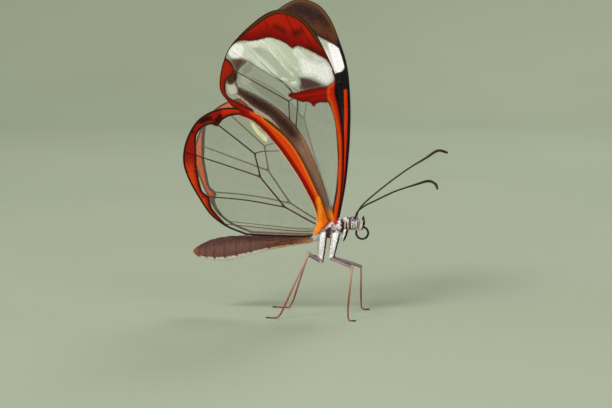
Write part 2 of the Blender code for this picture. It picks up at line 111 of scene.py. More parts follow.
# Zones of the fore wing's markings, each outlined like a wing.
FORE_ZONES = {
    "costal": (
        ((0.0, -0.3), (0.25, 1.0), (0.5, 2.4), (0.9, 4.3), (1.12, 7.2), (1.3, 10.0), (1.2, 12.8),
         (0.9, 15.2), (0.55, 16.7), (0.15, 17.6), (0.2, 19.0)),
        ((0.2, 19.0), (1.2, 19.6), (1.9, 20.6), (2.8, 14.0), (2.5, 8.0), (1.7, 1.0), (1.2, -0.5),
         (0.0, -0.3)),
    ),
    "black_edge": (
        ((0.95, -0.3), (1.1, 1.5), (1.5, 4.9), (1.72, 7.2), (1.83, 9.4), (1.9, 11.7), (1.78, 14.4),
         (1.55, 16.5), (1.25, 18.2), (1.45, 19.9), (1.2, 21.2)),
        ((1.2, 21.2), (2.0, 21.4), (3.0, 14.0), (2.6, 8.0), (2.0, -0.3), (0.95, -0.3)),
    ),
    "black_above": (
        ((0.4, 0.6), (1.0, 4.4), (1.25, 6.5), (1.38, 8.6), (1.4, 10.7), (1.25, 13.3), (0.9, 15.3),
         (0.3, 17.0), (-0.3, 18.4), (0.0, 19.4), (0.9, 19.7), (1.3, 20.4)),
        ((1.3, 20.4), (3.0, 21.0), (3.0, 8.0), (2.0, 0.0), (0.4, 0.6)),
    ),
    "apex": (
        ((-12.6, 24.3), (-11.3, 24.9), (-9.9, 25.2), (-9.0, 25.1), (-7.8, 25.3), (-6.6, 25.6),
         (-5.5, 25.3), (-4.5, 24.8), (-3.7, 24.1), (-3.1, 24.5), (-1.8, 24.0), (-0.5, 23.3), (0.6, 22.5),
         (1.2, 21.4), (2.4, 20.9)),
        ((2.4, 20.9), (1.6, 25.0), (-1.0, 29.0), (-6.0, 30.5), (-10.0, 28.0), (-12.6, 24.3)),
    ),
    "margin": (
        ((-12.7, 23.6), (-12.45, 22.9), (-11.8, 22.3), (-11.4, 21.2), (-11.8, 20.5), (-12.35, 20.0),
         (-12.7, 19.5), (-12.85, 18.5), (-12.6, 17.6), (-11.8, 17.05), (-10.7, 16.5), (-9.5, 15.85)),
        ((-9.5, 15.85), (-9.4, 14.6), (-12.0, 15.2), (-14.4, 17.0), (-14.8, 21.0), (-13.2, 24.2),
         (-12.7, 23.6)),
    ),
    "discal": (
        ((-4.5, 18.2), (-3.7, 18.2), (-2.5, 18.55), (-0.7, 18.95), (0.3, 19.1), (0.8, 19.5)),
        ((0.8, 19.5), (0.6, 18.0), (0.45, 16.9), (-0.5, 16.85), (-1.2, 16.65), (-1.5, 16.15),
         (-1.8, 16.6), (-2.3, 16.95), (-2.9, 16.85), (-3.7, 17.15), (-4.5, 17.5), (-4.8, 17.8),
         (-4.5, 18.2)),
    ),
    "white": (
        ((-12.3, 23.4), (-11.6, 24.7), (-9.2, 25.2), (-7.4, 25.5), (-5.1, 25.3), (-3.6, 24.4),
         (-1.7, 24.0), (-0.1, 23.2), (0.9, 22.5), (1.6, 21.0), (1.3, 19.6), (0.5, 19.0)),
        ((0.5, 19.0), (-1.0, 19.2), (-2.9, 19.1), (-4.4, 18.7), (-5.4, 19.7), (-6.8, 20.4), (-8.2, 21.4),
         (-9.9, 22.6), (-11.4, 22.7), (-12.3, 23.4)),
    ),
    "wedge": (
        ((-10.9, 24.8), (-9.6, 25.1), (-8.8, 24.2), (-7.7, 23.1), (-6.6, 22.0), (-5.8, 20.8),
         (-5.6, 19.9)),
        ((-5.6, 19.9), (-6.8, 20.6), (-8.2, 21.5), (-9.4, 22.5), (-10.6, 22.9), (-10.9, 24.8)),
    ),
    "blob": (
        ((-3.5, 24.1), (-2.1, 23.1), (-0.7, 22.6), (0.2, 22.5), (1.0, 22.0), (1.5, 20.8), (1.3, 19.9),
         (0.7, 19.1)),
        ((0.7, 19.1), (-0.3, 19.4), (-1.3, 20.1), (-2.6, 20.5), (-3.2, 22.0), (-3.5, 24.1)),
    ),
    "blob_above": (
        ((-1.2, 23.5), (0.0, 23.35), (1.0, 22.3), (1.35, 20.8), (0.8, 19.7), (0.1, 19.6), (-0.3, 20.6),
         (-0.7, 21.8), (-1.2, 23.5)),
    ),
    "tip_blob": (
        ((-12.15, 23.5), (-11.8, 24.4), (-11.0, 24.8), (-10.1, 24.7), (-10.0, 23.9), (-10.5, 22.9),
         (-11.4, 22.7), (-12.15, 23.5)),
    ),
    "smudge": (
        ((-3.3, 20.4), (-2.0, 20.3), (-0.9, 19.8), (0.1, 19.2)),
        ((0.1, 19.2), (-0.5, 18.9), (-1.6, 18.7), (-2.9, 18.6), (-3.2, 19.3), (-3.3, 20.4)),
    ),
    "tornus": (
        ((-12.6, 19.4), (-11.9, 19.3), (-11.4, 18.9), (-11.4, 18.1), (-12.1, 17.8), (-12.6, 18.3),
         (-12.6, 19.4)),
    ),
    "patch": (
        ((-12.1, 22.6), (-11.2, 22.8), (-10.0, 22.6), (-10.4, 22.0), (-10.9, 21.4), (-11.4, 21.0),
         (-11.6, 22.0), (-12.1, 22.6)),
    ),
    "corner": (
        ((-11.2, 21.0), (-11.2, 20.0), (-12.1, 19.2), (-12.6, 19.7), (-11.9, 20.6), (-11.2, 21.0)),
    ),
    "band": (
        ((-11.5, 18.6), (-11.2, 18.9), (-10.2, 18.45), (-8.8, 17.7), (-7.3, 16.8), (-6.2, 15.8),
         (-5.2, 14.8), (-4.5, 14.0), (-4.0, 13.3), (-3.6, 12.1), (-3.0, 10.3), (-2.3, 8.2), (-1.5, 5.9),
         (-0.7, 3.5), (0.1, 1.0)),
        ((0.1, 1.0), (-0.9, 0.8), (-1.9, 3.4), (-2.6, 5.6), (-3.5, 7.8), (-4.2, 9.8), (-5.4, 12.3),
         (-6.2, 13.3), (-7.2, 14.6), (-8.3, 15.4), (-9.5, 16.2), (-10.6, 17.2), (-11.5, 18.0),
         (-11.5, 18.6)),
    ),
}
# The upper side's red stripe lies between these distances from the front edge, up to this height;
# at the root they shrink to this share.
STRIPE_OUTER = 0.4
STRIPE_INNER = 0.84
STRIPE_TOP = 17.3
STRIPE_SHARE = 0.5
# Dark smudges in the tip and white streaks down the white band, each a line and its half width.
FORE_SMUDGES = (
    (((-3.3, 26.2), (-2.7, 26.3)), 0.34),
    (((-5.6, 27.1), (-4.6, 26.5)), 0.22),
    (((-1.6, 24.3), (0.2, 23.3)), 0.2),
    (((-11.6, 25.0), (-10.6, 25.5)), 0.26),
)
FORE_STREAKS = (
    (((-7.7, 25.3), (-6.7, 24.2), (-5.8, 22.9), (-4.9, 21.7), (-3.8, 20.4)), 0.14),
    (((-3.2, 23.6), (-1.9, 22.1), (-0.8, 21.2), (0.3, 20.3)), 0.55),
    (((-5.4, 20.1), (-4.8, 19.9)), 0.16),
    (((-4.1, 19.5), (-3.6, 19.5)), 0.2),
)
# A pale line runs along the dark band.
FORE_BAND_LINE = ((-11.4, 17.7), (-10.4, 16.9), (-9.4, 15.95), (-8.3, 15.2), (-7.2, 14.3), (-6.2, 13.0))

# Zones of the hind wing's markings.
HIND_ZONES = {
    "border": (
        ((-6.0, 10.4), (-7.5, 12.4), (-8.6, 13.6), (-9.4, 14.4), (-10.2, 14.9), (-11.4, 15.05),
         (-12.6, 14.8), (-13.5, 14.2), (-14.1, 13.4), (-14.8, 13.7), (-15.8, 13.4), (-16.65, 12.7),
         (-17.1, 11.6), (-17.2, 9.2), (-17.3, 7.9), (-17.0, 5.1), (-16.75, 4.1), (-16.0, 3.4),
         (-15.75, 1.9), (-14.9, 0.6), (-13.95, -0.5), (-13.0, -1.15), (-11.6, -1.75)),
        ((-11.6, -1.75), (-12.0, -3.5), (-17.0, -1.0), (-20.5, 5.0), (-20.5, 11.0), (-18.0, 16.0),
         (-12.5, 17.5), (-7.0, 16.0), (-3.5, 11.5), (-6.0, 10.4)),
    ),
    "costal": (
        ((-2.3, -2.3), (-2.1, -1.3), (-1.75, -0.2), (-1.8, 1.0), (-2.15, 2.4), (-2.8, 4.0), (-3.7, 6.0),
         (-4.75, 7.9), (-6.0, 10.0), (-7.2, 11.7), (-8.3, 13.1), (-9.6, 14.3), (-11.4, 15.0)),
        ((-11.4, 15.0), (-11.4, 17.0), (-7.0, 16.0), (-3.0, 11.0), (0.0, 4.0), (0.8, 0.0), (-0.4, -2.3),
         (-2.3, -2.3)),
    ),
    "base": (
        ((-2.4, -2.4), (-2.2, -1.3), (-1.8, -0.2), (-1.75, 0.8), (-1.65, 2.0), (-1.7, 3.6), (-0.2, 3.8),
         (0.4, 1.0), (0.2, -2.4), (-2.4, -2.4)),
    ),
    "streak": (
        ((-9.9, 14.3), (-9.3, 13.9), (-8.6, 12.9), (-7.7, 12.0), (-7.8, 11.3), (-8.6, 12.0), (-9.4, 13.1),
         (-9.9, 14.3)),
    ),
    "fold": (
        ((-12.2, -1.4), (-9.0, -1.2), (-2.4, -1.1)),
        ((-2.4, -1.1), (-2.0, -3.0), (-12.4, -3.0), (-12.2, -1.4)),
    ),
}
# Dark spots and short dashes in the border, each a line and its half width.
HIND_BLOTS = (
    (((-16.3, 14.1), (-15.0, 14.6)), 0.34),
    (((-14.4, 13.9), (-13.6, 14.9)), 0.3),
    (((-17.4, 12.6), (-18.1, 13.2)), 0.2),
)
HIND_MARKS = (
    (((-17.2, 9.3), (-19.0, 9.9)), 0.1),
    (((-14.0, 13.6), (-15.8, 15.6)), 0.1),
    (((-17.3, 7.0), (-18.9, 7.1)), 0.09),
    (((-16.2, 3.4), (-18.2, 3.6)), 0.08),
)
# The hind wings' borders and the fore wings' margins are this much narrower along the outer edge.
BORDER_NARROWING = {"left": 0.5, "right": 0.0}
MARGIN_NARROWING = {"left": 0.4, "right": 0.0}

# The body's skin: centre x and z, half height and half width of upright oval rings, tail to face.
SKIN = (
    (-15.25, 8.06, 0.12, 0.12),
    (-15.0, 8.06, 0.36, 0.32),
    (-14.4, 8.08, 0.76, 0.62),
    (-12.9, 8.25, 1.32, 1.08),
    (-11.2, 8.46, 1.54, 1.28),
    (-9.3, 8.7, 1.5, 1.28),
    (-5.0, 9.4, 0.96, 0.93),
    (-0.9, 9.9, 0.6, 0.6),
    (0.95, 10.15, 0.5, 0.55),
    (1.6, 10.65, 0.78, 0.8),
    (2.3, 11.22, 1.1, 1.05),
    (3.27, 11.72, 1.38, 1.35),
    (4.2, 11.65, 1.18, 1.1),
    (4.8, 11.72, 0.84, 0.85),
    (5.15, 11.9, 0.68, 0.62),
    (5.45, 12.05, 0.66, 0.48),
    (5.8, 12.2, 0.74, 0.42),
    (6.36, 12.22, 0.86, 0.48),
    (6.85, 12.2, 0.66, 0.42),
    (7.08, 12.15, 0.3, 0.25),
)
# The skin's lengthwise curve is walked in this many steps; its mesh has these rings and sides.
SKIN_FINENESS = 900
SKIN_RINGS = 300
SKIN_SIDES = 56
WAIST_X = 1.1
NECK_X = 5.3
ABDOMEN_TIP_X = -15.25
# The abdomen's segments meet at these places, each narrowing where it slips under the one before.
SEGMENT_EDGES = (-14.3, -13.3, -12.1, -10.7, -9.1, -7.2, -4.8, -1.8)
SEGMENT_STEP = 0.06
# Painted highlights on the abdomen's sides, drawn as rosy streaks: how high on the side, the middle's x and
# half the length.
ABDOMEN_HIGHLIGHTS = ((0.15, -4.3, 0.7), (-0.2, -1.9, 1.1))
# Rows of darker and lighter scales ring the abdomen this far apart.
SCALE_ROW = 0.44
ABDOMEN_GAP = 0.145
THORAX_GAP = 0.12
HEAD_GAP = 0.085
# Scales are thick by this share of their width, start this deep and take this much room on the bake map.
SCALE_THICKNESS = 0.3
SCALE_SINK = 0.03
BAKE_PATCH = 0.003
RANDOM = np.random.default_rng(11)

EYE_CENTRE = (6.47, 0.68, 12.2)
EYE_RADIUS = 0.64
EYE_RINGS = 56
EYE_SIDES = 72
# Pale upright stripes, each its place across the eye and half its width.
EYE_STRIPES = ((-0.42, 0.09), (0.05, 0.09), (0.48, 0.08))
# Dark spots, each its place across and up the eye and its size.
EYE_SPOTS = (
    (-0.05, -0.28, 0.07), (0.26, -0.05, 0.08), (0.3, 0.3, 0.06), (-0.3, 0.32, 0.07), (0.02, 0.36, 0.08),
)

ANTENNAE = {
    "right": ((6.6, 0.35, 12.7), (6.9, 0.8, 13.75), (7.9, 1.4, 14.65), (9.4, 2.0, 15.45), (12.1, 3.0, 16.8),
              (14.8, 4.0, 17.8), (16.6, 5.0, 18.4), (17.55, 5.6, 18.15), (17.9, 5.95, 17.5)),
    "left": ((6.6, 0.35, 12.7), (6.9, 0.8, 13.9), (7.9, 1.5, 15.1), (10.5, 2.2, 17.3), (13.2, 2.9, 19.3),
             (15.3, 3.6, 20.6), (16.9, 4.3, 21.6), (18.1, 5.0, 21.3)),
}
ANTENNA_RADIUS = 0.115
CLUB_RADIUS = 0.2
ANTENNA_RINGS = 44

PALP = ((7.05, 0.36, 11.5), (7.35, 0.42, 11.6), (7.55, 0.45, 12.1), (7.6, 0.46, 12.7), (7.62, 0.46, 13.15))
# The tongue's coil, seen from the side.
COIL_CENTRE = (7.48, 10.99)
COIL_RADIUS = 0.79
COIL_START = math.radians(82)
COIL_END = math.radians(-200)
COIL_STEPS = 90
COIL_THICK_RADIUS = 0.145

FORELEG = ((5.35, 0.5, 11.35), (5.2, 0.47, 10.7), (4.98, 0.45, 10.1))
HIP_RADII = (0.5, 0.43, 0.32)
THIGH_RADII = (0.22, 0.2, 0.19)
SHIN_RADII = (0.14, 0.125)
FOOT_RADIUS = 0.12
FOOT_SEGMENTS = 5
FOOT_Z = 0.12
# A leg's joints bend within this distance, or this share of the run where that is shorter.
JOINT_REACH = 0.3
JOINT_SHARE = 0.3
# A leg's hip, hip joint, knee, ankle, and the two ends of its foot.
LEGS = {
    "mid_right": ((4.2, 0.9, 10.9), (3.65, 1.6, 7.8), (6.78, 4.3, 7.0), (6.3, 4.5, 1.9),
                  (6.35, 4.55, FOOT_Z), (7.3, 4.6, FOOT_Z)),
    "mid_left": ((3.75, 0.9, 10.9), (3.14, 1.6, 7.5), (6.73, 4.2, 5.95), (6.7, 4.5, 1.5),
                 (6.8, 4.55, FOOT_Z), (7.8, 4.6, FOOT_Z)),
    "hind_right": ((2.5, 0.9, 11.0), (2.24, 1.6, 7.4), (0.89, 3.4, 8.4), (-2.4, 4.2, 1.04),
                   (-3.0, 4.2, FOOT_Z), (-4.5, 4.2, FOOT_Z)),
    "hind_left": ((2.0, 0.9, 10.9), (1.61, 1.6, 7.3), (-0.33, 3.4, 7.45), (-2.4, 4.1, 1.3),
                  (-3.0, 4.2, FOOT_Z), (-5.3, 4.3, FOOT_Z)),
}

# The studio's floor curves up into a wall from the last of these radii.
FLOOR_RADII = (120.0, 260.0, 420.0)
FLOOR_SIDES = 96
WALL_CURVE = 180.0
WALL_HEIGHT = 420.0
SKY_COLOUR = (0.95, 0.98, 1.0)
SKY_STRENGTH = 0.42
# Lights: name, place in metres, watts, size in metres and colour; all face the lit place.
LIGHTS = (
    ("key", (-0.25, -0.42, 0.5), 3.4, 0.22, (1.0, 0.97, 0.92)),
    ("fill", (0.45, -0.35, 0.2), 1.3, 0.3, (0.94, 0.97, 1.0)),
    ("low", (-0.12, -0.55, 0.08), 1.3, 0.25, (1.0, 0.97, 0.98)),
    ("back", (0.1, 0.45, 0.45), 1.6, 0.3, (1.0, 1.0, 1.0)),
)
LIT_PLACE = (0, 0, 0.018)

# The camera looks at this place from this azimuth and elevation.
CAMERA_TARGET = (0.0, 0.0, 14.66)
CAMERA_AZIMUTH = math.radians(10)
CAMERA_ELEVATION = math.radians(6)
CAMERA_DISTANCE = 223.7
CAMERA_LENS = 100.0
CAMERA_SENSOR = 36.0


def shade(red, green, blue):
    """A colour as a screen shows it, 0 to 255, turned into the shader's linear values."""
    shares = (red / 255, green / 255, blue / 255)
    return tuple(((c + 0.055) / 1.055) ** 2.4 if c > 0.04 else c / 12.92 for c in shares)


BLACK = shade(9, 4, 4)
DARK_BROWN = shade(38, 16, 8)
BRIGHT_RED = shade(196, 40, 4)
ORANGE = shade(222, 96, 12)
BRIGHT_ORANGE = shade(242, 138, 20)
WHITE = shade(246, 242, 243)
GREY_WHITE = shade(206, 204, 204)
VEIL = shade(112, 118, 104)
VEIL_PALE = shade(150, 152, 138)
VEIN_BROWN = shade(44, 20, 8)
OLIVE = shade(84, 50, 18)
ROSE = shade(150, 92, 74)
MAUVE = shade(124, 86, 78)
MAUVE_DARK = shade(84, 54, 52)
PEACH = shade(214, 158, 122)
WARM_BROWN = shade(104, 62, 40)
TAWNY = shade(150, 88, 62)
BELLY = shade(236, 226, 216)
THORAX_BROWN = shade(96, 56, 48)
FLAME = shade(226, 84, 6)
COLLAR_PINK = shade(232, 204, 200)
CHEEK = shade(186, 172, 176)
CROWN = shade(62, 38, 60)
EYE_GREY = shade(104, 90, 100)
EYE_PALE = shade(216, 206, 206)
EYE_DARK = shade(26, 12, 24)
HIP_EDGE = {"mid": shade(16, 7, 6), "hind": shade(84, 42, 34)}
BRUSH_EDGE = shade(26, 12, 10)
LEG_LILAC = shade(158, 138, 148)
LEG_ROSE = shade(192, 148, 132)
LEG_BROWN = shade(122, 58, 38)
FEELER = shade(34, 18, 6)
FEELER_PALE = shade(66, 46, 30)
FLOOR_TONES = (shade(142, 150, 128), shade(156, 163, 142))

# Coloured layers of the wings' faces, each over those before it: field, the level and softness of
# its edge, the edge's raggedness, colour and cover.
FORE_UNDER = (
    ("vein", 0.0, 0.05, 0.0, VEIN_BROWN, 0.96),
    ("band", -0.05, 0.2, 0.2, shade(96, 78, 74), 0.7),
    ("band", 0.12, 0.3, 0.4, shade(84, 58, 50), 0.95),
    ("band", 0.4, 0.5, 0.9, shade(46, 28, 24), 0.97),
    ("band_root", 0.05, 0.4, 0.3, shade(144, 114, 98), 0.9),
    ("band_line", -0.14, 0.12, 0.12, shade(206, 176, 160), 0.85),
    ("white", 0.0, 0.5, 0.4, shade(206, 212, 190), 0.3),
    ("wedge", 0.1, 0.5, 0.4, shade(226, 228, 222), 0.75),
    ("streak", 0.0, 0.24, 0.24, shade(236, 238, 230), 0.85),
    ("low_vein", 0.02, 0.04, 0.0, shade(70, 60, 34), 0.85),
    ("blob", 0.05, 0.45, 0.5, shade(222, 222, 224), 0.86),
    ("blob", 0.5, 0.5, 0.6, WHITE, 0.98),
    ("tip_blob", 0.0, 0.3, 0.2, WHITE, 0.97),
    ("tornus", 0.0, 0.35, 0.3, shade(214, 196, 186), 0.85),
    ("patch", 0.0, 0.4, 0.3, shade(88, 62, 54), 0.9),
    ("corner", -0.05, 0.3, 0.25, shade(60, 24, 10), 0.95),
    ("smudge", 0.1, 0.5, 0.5, shade(84, 60, 62), 0.9),
    ("margin", 0.0, 0.14, 0.2, shade(64, 14, 4), 0.98),
    ("margin", 0.2, 0.2, 0.25, shade(140, 24, 2), 1.0),
    ("margin", 0.5, 0.5, 0.5, shade(156, 30, 2), 1.0),
    ("apex", 0.0, 0.16, 0.35, shade(98, 6, 0), 1.0),
    ("apex", 0.4, 0.8, 0.9, shade(136, 9, 0), 1.0),
    ("apex", 1.4, 1.2, 1.8, shade(174, 26, 2), 1.0),
    ("apex_vein", 0.0, 0.16, 0.1, shade(132, 12, 0), 1.0),
    ("smudges", 0.0, 0.9, 0.8, shade(56, 10, 4), 1.0),
    ("costal", 0.0, 0.1, 0.12, shade(116, 24, 2), 0.97),
    ("costal", 0.1, 0.12, 0.08, shade(210, 72, 2), 1.0),
    ("costal", 0.42, 0.3, 0.16, shade(188, 36, 0), 1.0),
    ("discal_edge", 0.0, 0.16, 0.2, shade(100, 6, 0), 1.0),
    ("discal", 0.35, 0.5, 0.3, shade(142, 10, 0), 1.0),
    ("root", 0.0, 1.2, 0.3, BRIGHT_ORANGE, 1.0),
    ("black_edge", -0.1, 0.14, 0.08, shade(110, 4, 2), 1.0),
    ("black_edge", 0.04, 0.1, 0.06, BLACK, 1.0),
    ("tip_rim", -0.14, 0.1, 0.06, shade(54, 12, 2), 1.0),
    ("tip_rim", 0.0, 0.08, 0.1, OLIVE, 1.0),
    ("rim", 0.02, 0.1, 0.05, shade(40, 14, 6), 1.0),
)
FORE_UPPER = (
    ("vein", 0.0, 0.05, 0.0, shade(70, 54, 26), 0.4),
    ("white", 0.0, 0.5, 0.4, shade(206, 212, 190), 0.3),
    ("blob_above", 0.0, 0.25, 0.25, WHITE, 1.0),
    ("smudge", 0.1, 0.4, 0.4, shade(50, 24, 18), 0.9),
    ("margin", 0.0, 0.16, 0.2, shade(56, 22, 10), 1.0),
    ("margin", 0.4, 0.3, 0.4, shade(110, 50, 20), 1.0),
    ("discal", 0.0, 0.12, 0.2, shade(50, 18, 8), 1.0),
    ("apex", 0.0, 0.16, 0.3, shade(34, 8, 4), 1.0),
    ("apex", 0.4, 1.0, 2.6, shade(86, 44, 14), 1.0),
    ("apex", 1.6, 1.4, 2.6, shade(32, 5, 1), 1.0),
    ("black_above", 0.0, 0.1, 0.1, BLACK, 1.0),
    ("stripe_above", 0.0, 0.1, 0.06, shade(206, 60, 2), 1.0),
    ("stripe_above", 0.2, 0.2, 0.06, shade(214, 34, 0), 1.0),
    ("stripe_root", 0.0, 1.0, 0.1, shade(112, 8, 4), 0.9),
    ("front_above", 0.0, 0.08, 0.05, BLACK, 1.0),
    ("root", 0.0, 1.2, 0.3, BRIGHT_ORANGE, 1.0),
    ("tip_rim", 0.0, 0.14, 0.2, shade(84, 52, 16), 1.0),
    ("rim", 0.06, 0.08, 0.04, shade(46, 18, 6), 1.0),
)
HIND_UNDER = (
    ("fold", 0.0, 0.5, 0.2, shade(150, 140, 120), 0.2),
    ("vein", -0.01, 0.05, 0.0, shade(58, 16, 4), 0.98),
    ("streak", -0.06, 0.3, 0.2, shade(222, 214, 170), 0.92),
    ("border", 0.0, 0.1, 0.14, shade(40, 4, 0), 1.0),
    ("border", 0.26, 0.14, 0.16, shade(142, 14, 2), 1.0),
    ("border_top", 0.4, 0.4, 0.2, shade(190, 38, 2), 1.0),
    ("border_low", 0.44, 0.24, 0.2, shade(172, 42, 6), 1.0),
    ("border_low", 0.66, 0.4, 0.4, shade(202, 62, 6), 1.0),
    ("blots", 0.0, 0.3, 0.4, shade(34, 4, 0), 1.0),
    ("mark", 0.0, 0.1, 0.1, shade(70, 12, 2), 1.0),
    ("rim", -0.1, 0.12, 0.12, shade(34, 6, 2), 1.0),
    ("costal_edge", -0.1, 0.1, 0.1, shade(212, 172, 136), 0.8),
    ("costal", 0.08, 0.12, 0.12, shade(112, 4, 0), 1.0),
    ("costal", 0.34, 0.3, 0.2, shade(140, 10, 0), 1.0),
    ("costal", 0.68, 0.2, 0.2, shade(214, 62, 2), 1.0),
    ("costa", -0.42, 0.2, 0.12, shade(230, 116, 30), 1.0),
    ("costa", -0.26, 0.12, 0.08, shade(118, 62, 14), 1.0),
    ("base", 0.1, 0.45, 0.3, BRIGHT_ORANGE, 1.0),
    ("base", 0.6, 0.5, 0.5, shade(222, 92, 4), 1.0),
    ("costa", -0.1, 0.08, 0.05, shade(76, 28, 6), 1.0),
)
HIND_UPPER = (
    ("fold", 0.0, 0.5, 0.2, shade(150, 140, 120), 0.14),
    ("vein", 0.0, 0.05, 0.0, shade(114, 98, 72), 0.95),
    ("streak", 0.06, 0.3, 0.3, shade(212, 206, 152), 0.5),
    ("border", 0.22, 0.1, 0.14, shade(78, 40, 24), 1.0),
    ("border", 0.44, 0.2, 0.2, shade(184, 96, 70), 1.0),
    ("border_top", 0.1, 0.3, 0.2, shade(138, 34, 6), 1.0),
    ("border_low", 0.4, 0.3, 0.3, shade(200, 80, 14), 1.0),
    ("border_end", 0.0, 0.3, 0.2, shade(96, 66, 46), 1.0),
    ("rim", -0.1, 0.2, 0.14, shade(84, 54, 38), 1.0),
    ("costal", 0.0, 0.1, 0.12, shade(150, 96, 70), 1.0),
    ("costal", 0.3, 0.3, 0.2, shade(210, 120, 60), 1.0),
    ("base", 0.0, 0.6, 0.4, ORANGE, 1.0),
    ("costa", -0.1, 0.08, 0.05, shade(92, 40, 16), 1.0),
)
# The left fore wing's underside shows these fields with only this share of their cover.
FAINT_FIELDS = ("vein", "low_vein", "band", "band_root", "band_line", "tornus", "patch", "corner")
FAINT_SHARE = 0.3


def curve_at(points, t):
    """The place at t on the smooth curve that passes each point at a whole number."""
    last = len(points) - 1
    i = min(int(t), last - 1)
    u = t - i
    p1, p2 = points[i], points[i + 1]
    p0 = points[i - 1] if i > 0 else [2 * m - n for m, n in zip(p1, p2)]
    p3 = points[i + 2] if i + 2 <= last else [2 * n - m for m, n in zip(p1, p2)]
    return [
        0.5 * (2 * b + (c - a) * u + (2 * a - 5 * b + 4 * c - d) * u * u + (3 * b - a - 3 * c + d) * u ** 3)
        for a, b, c, d in zip(p0, p1, p2, p3)
    ]


def even_points(points, step):
    """Points about a step apart along the smooth curve through the given ones, both ends included."""
    spans = (len(points) - 1) * CURVE_FINENESS
    dense = np.array([curve_at(points, k / CURVE_FINENESS) for k in range(spans + 1)])
    travel = np.concatenate([[0.0], np.cumsum(np.linalg.norm(np.diff(dense, axis=0), axis=1))])
    count = max(1, round(travel[-1] / step))
    goals = np.linspace(0, travel[-1], count + 1)
    return np.stack([np.interp(goals, travel, dense[:, i]) for i in range(dense.shape[1])], axis=1)


def ring_of(curves, step):
    """The closed ring of points of an outline made of curves that meet at its corners."""
    return np.concatenate([even_points(curve, step)[:-1] for curve in curves])


def closed(ring):
    return np.concatenate([ring, ring[:1]])


def smooth(value, low=0.0, high=1.0):
    share = np.clip((np.asarray(value, float) - low) / (high - low), 0, 1)
    return share * share * (3 - 2 * share)


def near(value, centre, half, soft):
    """One within half of the centre, falling to zero over the soft width."""
    return 1 - smooth(np.abs(value - centre), half, half + soft)


def mix(first, second, share):
    share = np.asarray(share, float)[..., None]
    return np.asarray(first) * (1 - share) + np.asarray(second) * share


def unit(vectors):
    return vectors / np.maximum(np.linalg.norm(vectors, axis=-1, keepdims=True), 1e-9)


def line_distance(points, line):
    """For each point the distance to a line of straight runs, and how far along it the nearest place is."""
    runs = np.diff(line, axis=0)
    best = np.full(len(points), np.inf)
    share = np.zeros(len(points))
    for k, (start, run) in enumerate(zip(line, runs)):
        t = np.clip(((points - start) @ run) / max(run @ run, 1e-12), 0, 1)
        away = np.linalg.norm(points - start - t[:, None] * run, axis=1)
        nearer = away < best
        best[nearer] = away[nearer]
        share[nearer] = (k + t[nearer]) / len(runs)
    return best, share


def inside(points, ring):
    crossed = np.zeros(len(points), bool)
    for start, end in zip(ring, np.roll(ring, -1, axis=0)):
        rise = end[1] - start[1]
        if rise == 0:
            continue
        spans = (start[1] > points[:, 1]) != (end[1] > points[:, 1])
        x = start[0] + (end[0] - start[0]) * (points[:, 1] - start[1]) / rise
        crossed ^= spans & (x > points[:, 0])
    return crossed


def depth_in(points, curves):
    """How deep each point lies in a zone: above zero inside it and below zero outside."""
    ring = ring_of(curves, ZONE_STEP)
    away, _ = line_distance(points, closed(ring))
    return np.where(inside(points, ring), away, -away)


def depth_in_strips(points, strips):
    """How deep each point lies in strips: each is a line and its half widths at the two ends."""
    best = np.full(len(points), -5.0)
    for line, first, *more in strips:
        away, share = line_distance(points, even_points(line, STRIP_STEP))
        half = first + (more[0] - first if more else 0) * share
        best = np.maximum(best, half - away)
    return best


def depth_under(points, curve):
    """Below zero by the distance from a curve."""
    return -line_distance(points, even_points(curve, ZONE_STEP))[0]


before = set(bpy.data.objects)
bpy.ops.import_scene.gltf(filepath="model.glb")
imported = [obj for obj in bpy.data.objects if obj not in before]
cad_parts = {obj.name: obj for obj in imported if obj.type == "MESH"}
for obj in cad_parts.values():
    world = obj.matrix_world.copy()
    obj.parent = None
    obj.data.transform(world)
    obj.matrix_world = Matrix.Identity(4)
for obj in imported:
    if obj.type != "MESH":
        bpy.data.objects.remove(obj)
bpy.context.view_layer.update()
head_low, head_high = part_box("head")
SHIFT = np.array([(n + m) / 2 for n, m in zip(head_low, head_high)]) - np.array(HEAD_CENTRE) * MM


def new_object(name, points, faces, materials):
    """One smooth object from points in millimetres of the butterfly's own frame."""
    mesh = bpy.data.meshes.new(name)
    mesh.from_pydata((np.asarray(points, float) * MM + SHIFT).tolist(), [], faces)
    for each in materials:
        mesh.materials.append(each)
    mesh.update()
    mesh.shade_smooth()
    made = bpy.data.objects.new(name, mesh)
    bpy.context.collection.objects.link(made)
    return made


def face_outward(mesh):
    shape = bmesh.new()
    shape.from_mesh(mesh)
    bmesh.ops.recalc_face_normals(shape, faces=shape.faces)
    shape.to_mesh(mesh)
    shape.free()


def store(mesh, name, values):
    layer = mesh.attributes.new(name, "FLOAT", "POINT")
    layer.data.foreach_set("value", np.asarray(values, np.float32))


def store_tones(mesh, colours):
    layer = mesh.attributes.new("tone", "FLOAT_COLOR", "POINT")
    full = np.ones((len(colours), 4), np.float32)
    full[:, :3] = colours
    layer.data.foreach_set("color", full.ravel())


def corner_vertices(mesh):
    corners = np.zeros(len(mesh.loops), np.int32)
    mesh.loops.foreach_get("vertex_index", corners)
    return corners


def store_bake_map(mesh, places):
    layer = mesh.uv_layers.new(name="OFBake")
    layer.data.foreach_set("uv", places.astype(np.float32).ravel())


def add(tree, kind, settings=None, **inputs):
    """A shader node; inputs name its sockets, with _ for a space, or number them, such as i0."""
    node = tree.nodes.new(kind)
    for key, value in (settings or {}).items():
        setattr(node, key, value)
    for key, value in inputs.items():
        socket = node.inputs[int(key[1:]) if key[1:].isdigit() else key.replace("_", " ")]
        if isinstance(value, bpy.types.NodeSocket):
            tree.links.new(value, socket)
        elif isinstance(value, tuple):
            socket.default_value = (*value, 1.0)
        else:
            socket.default_value = value
    return node


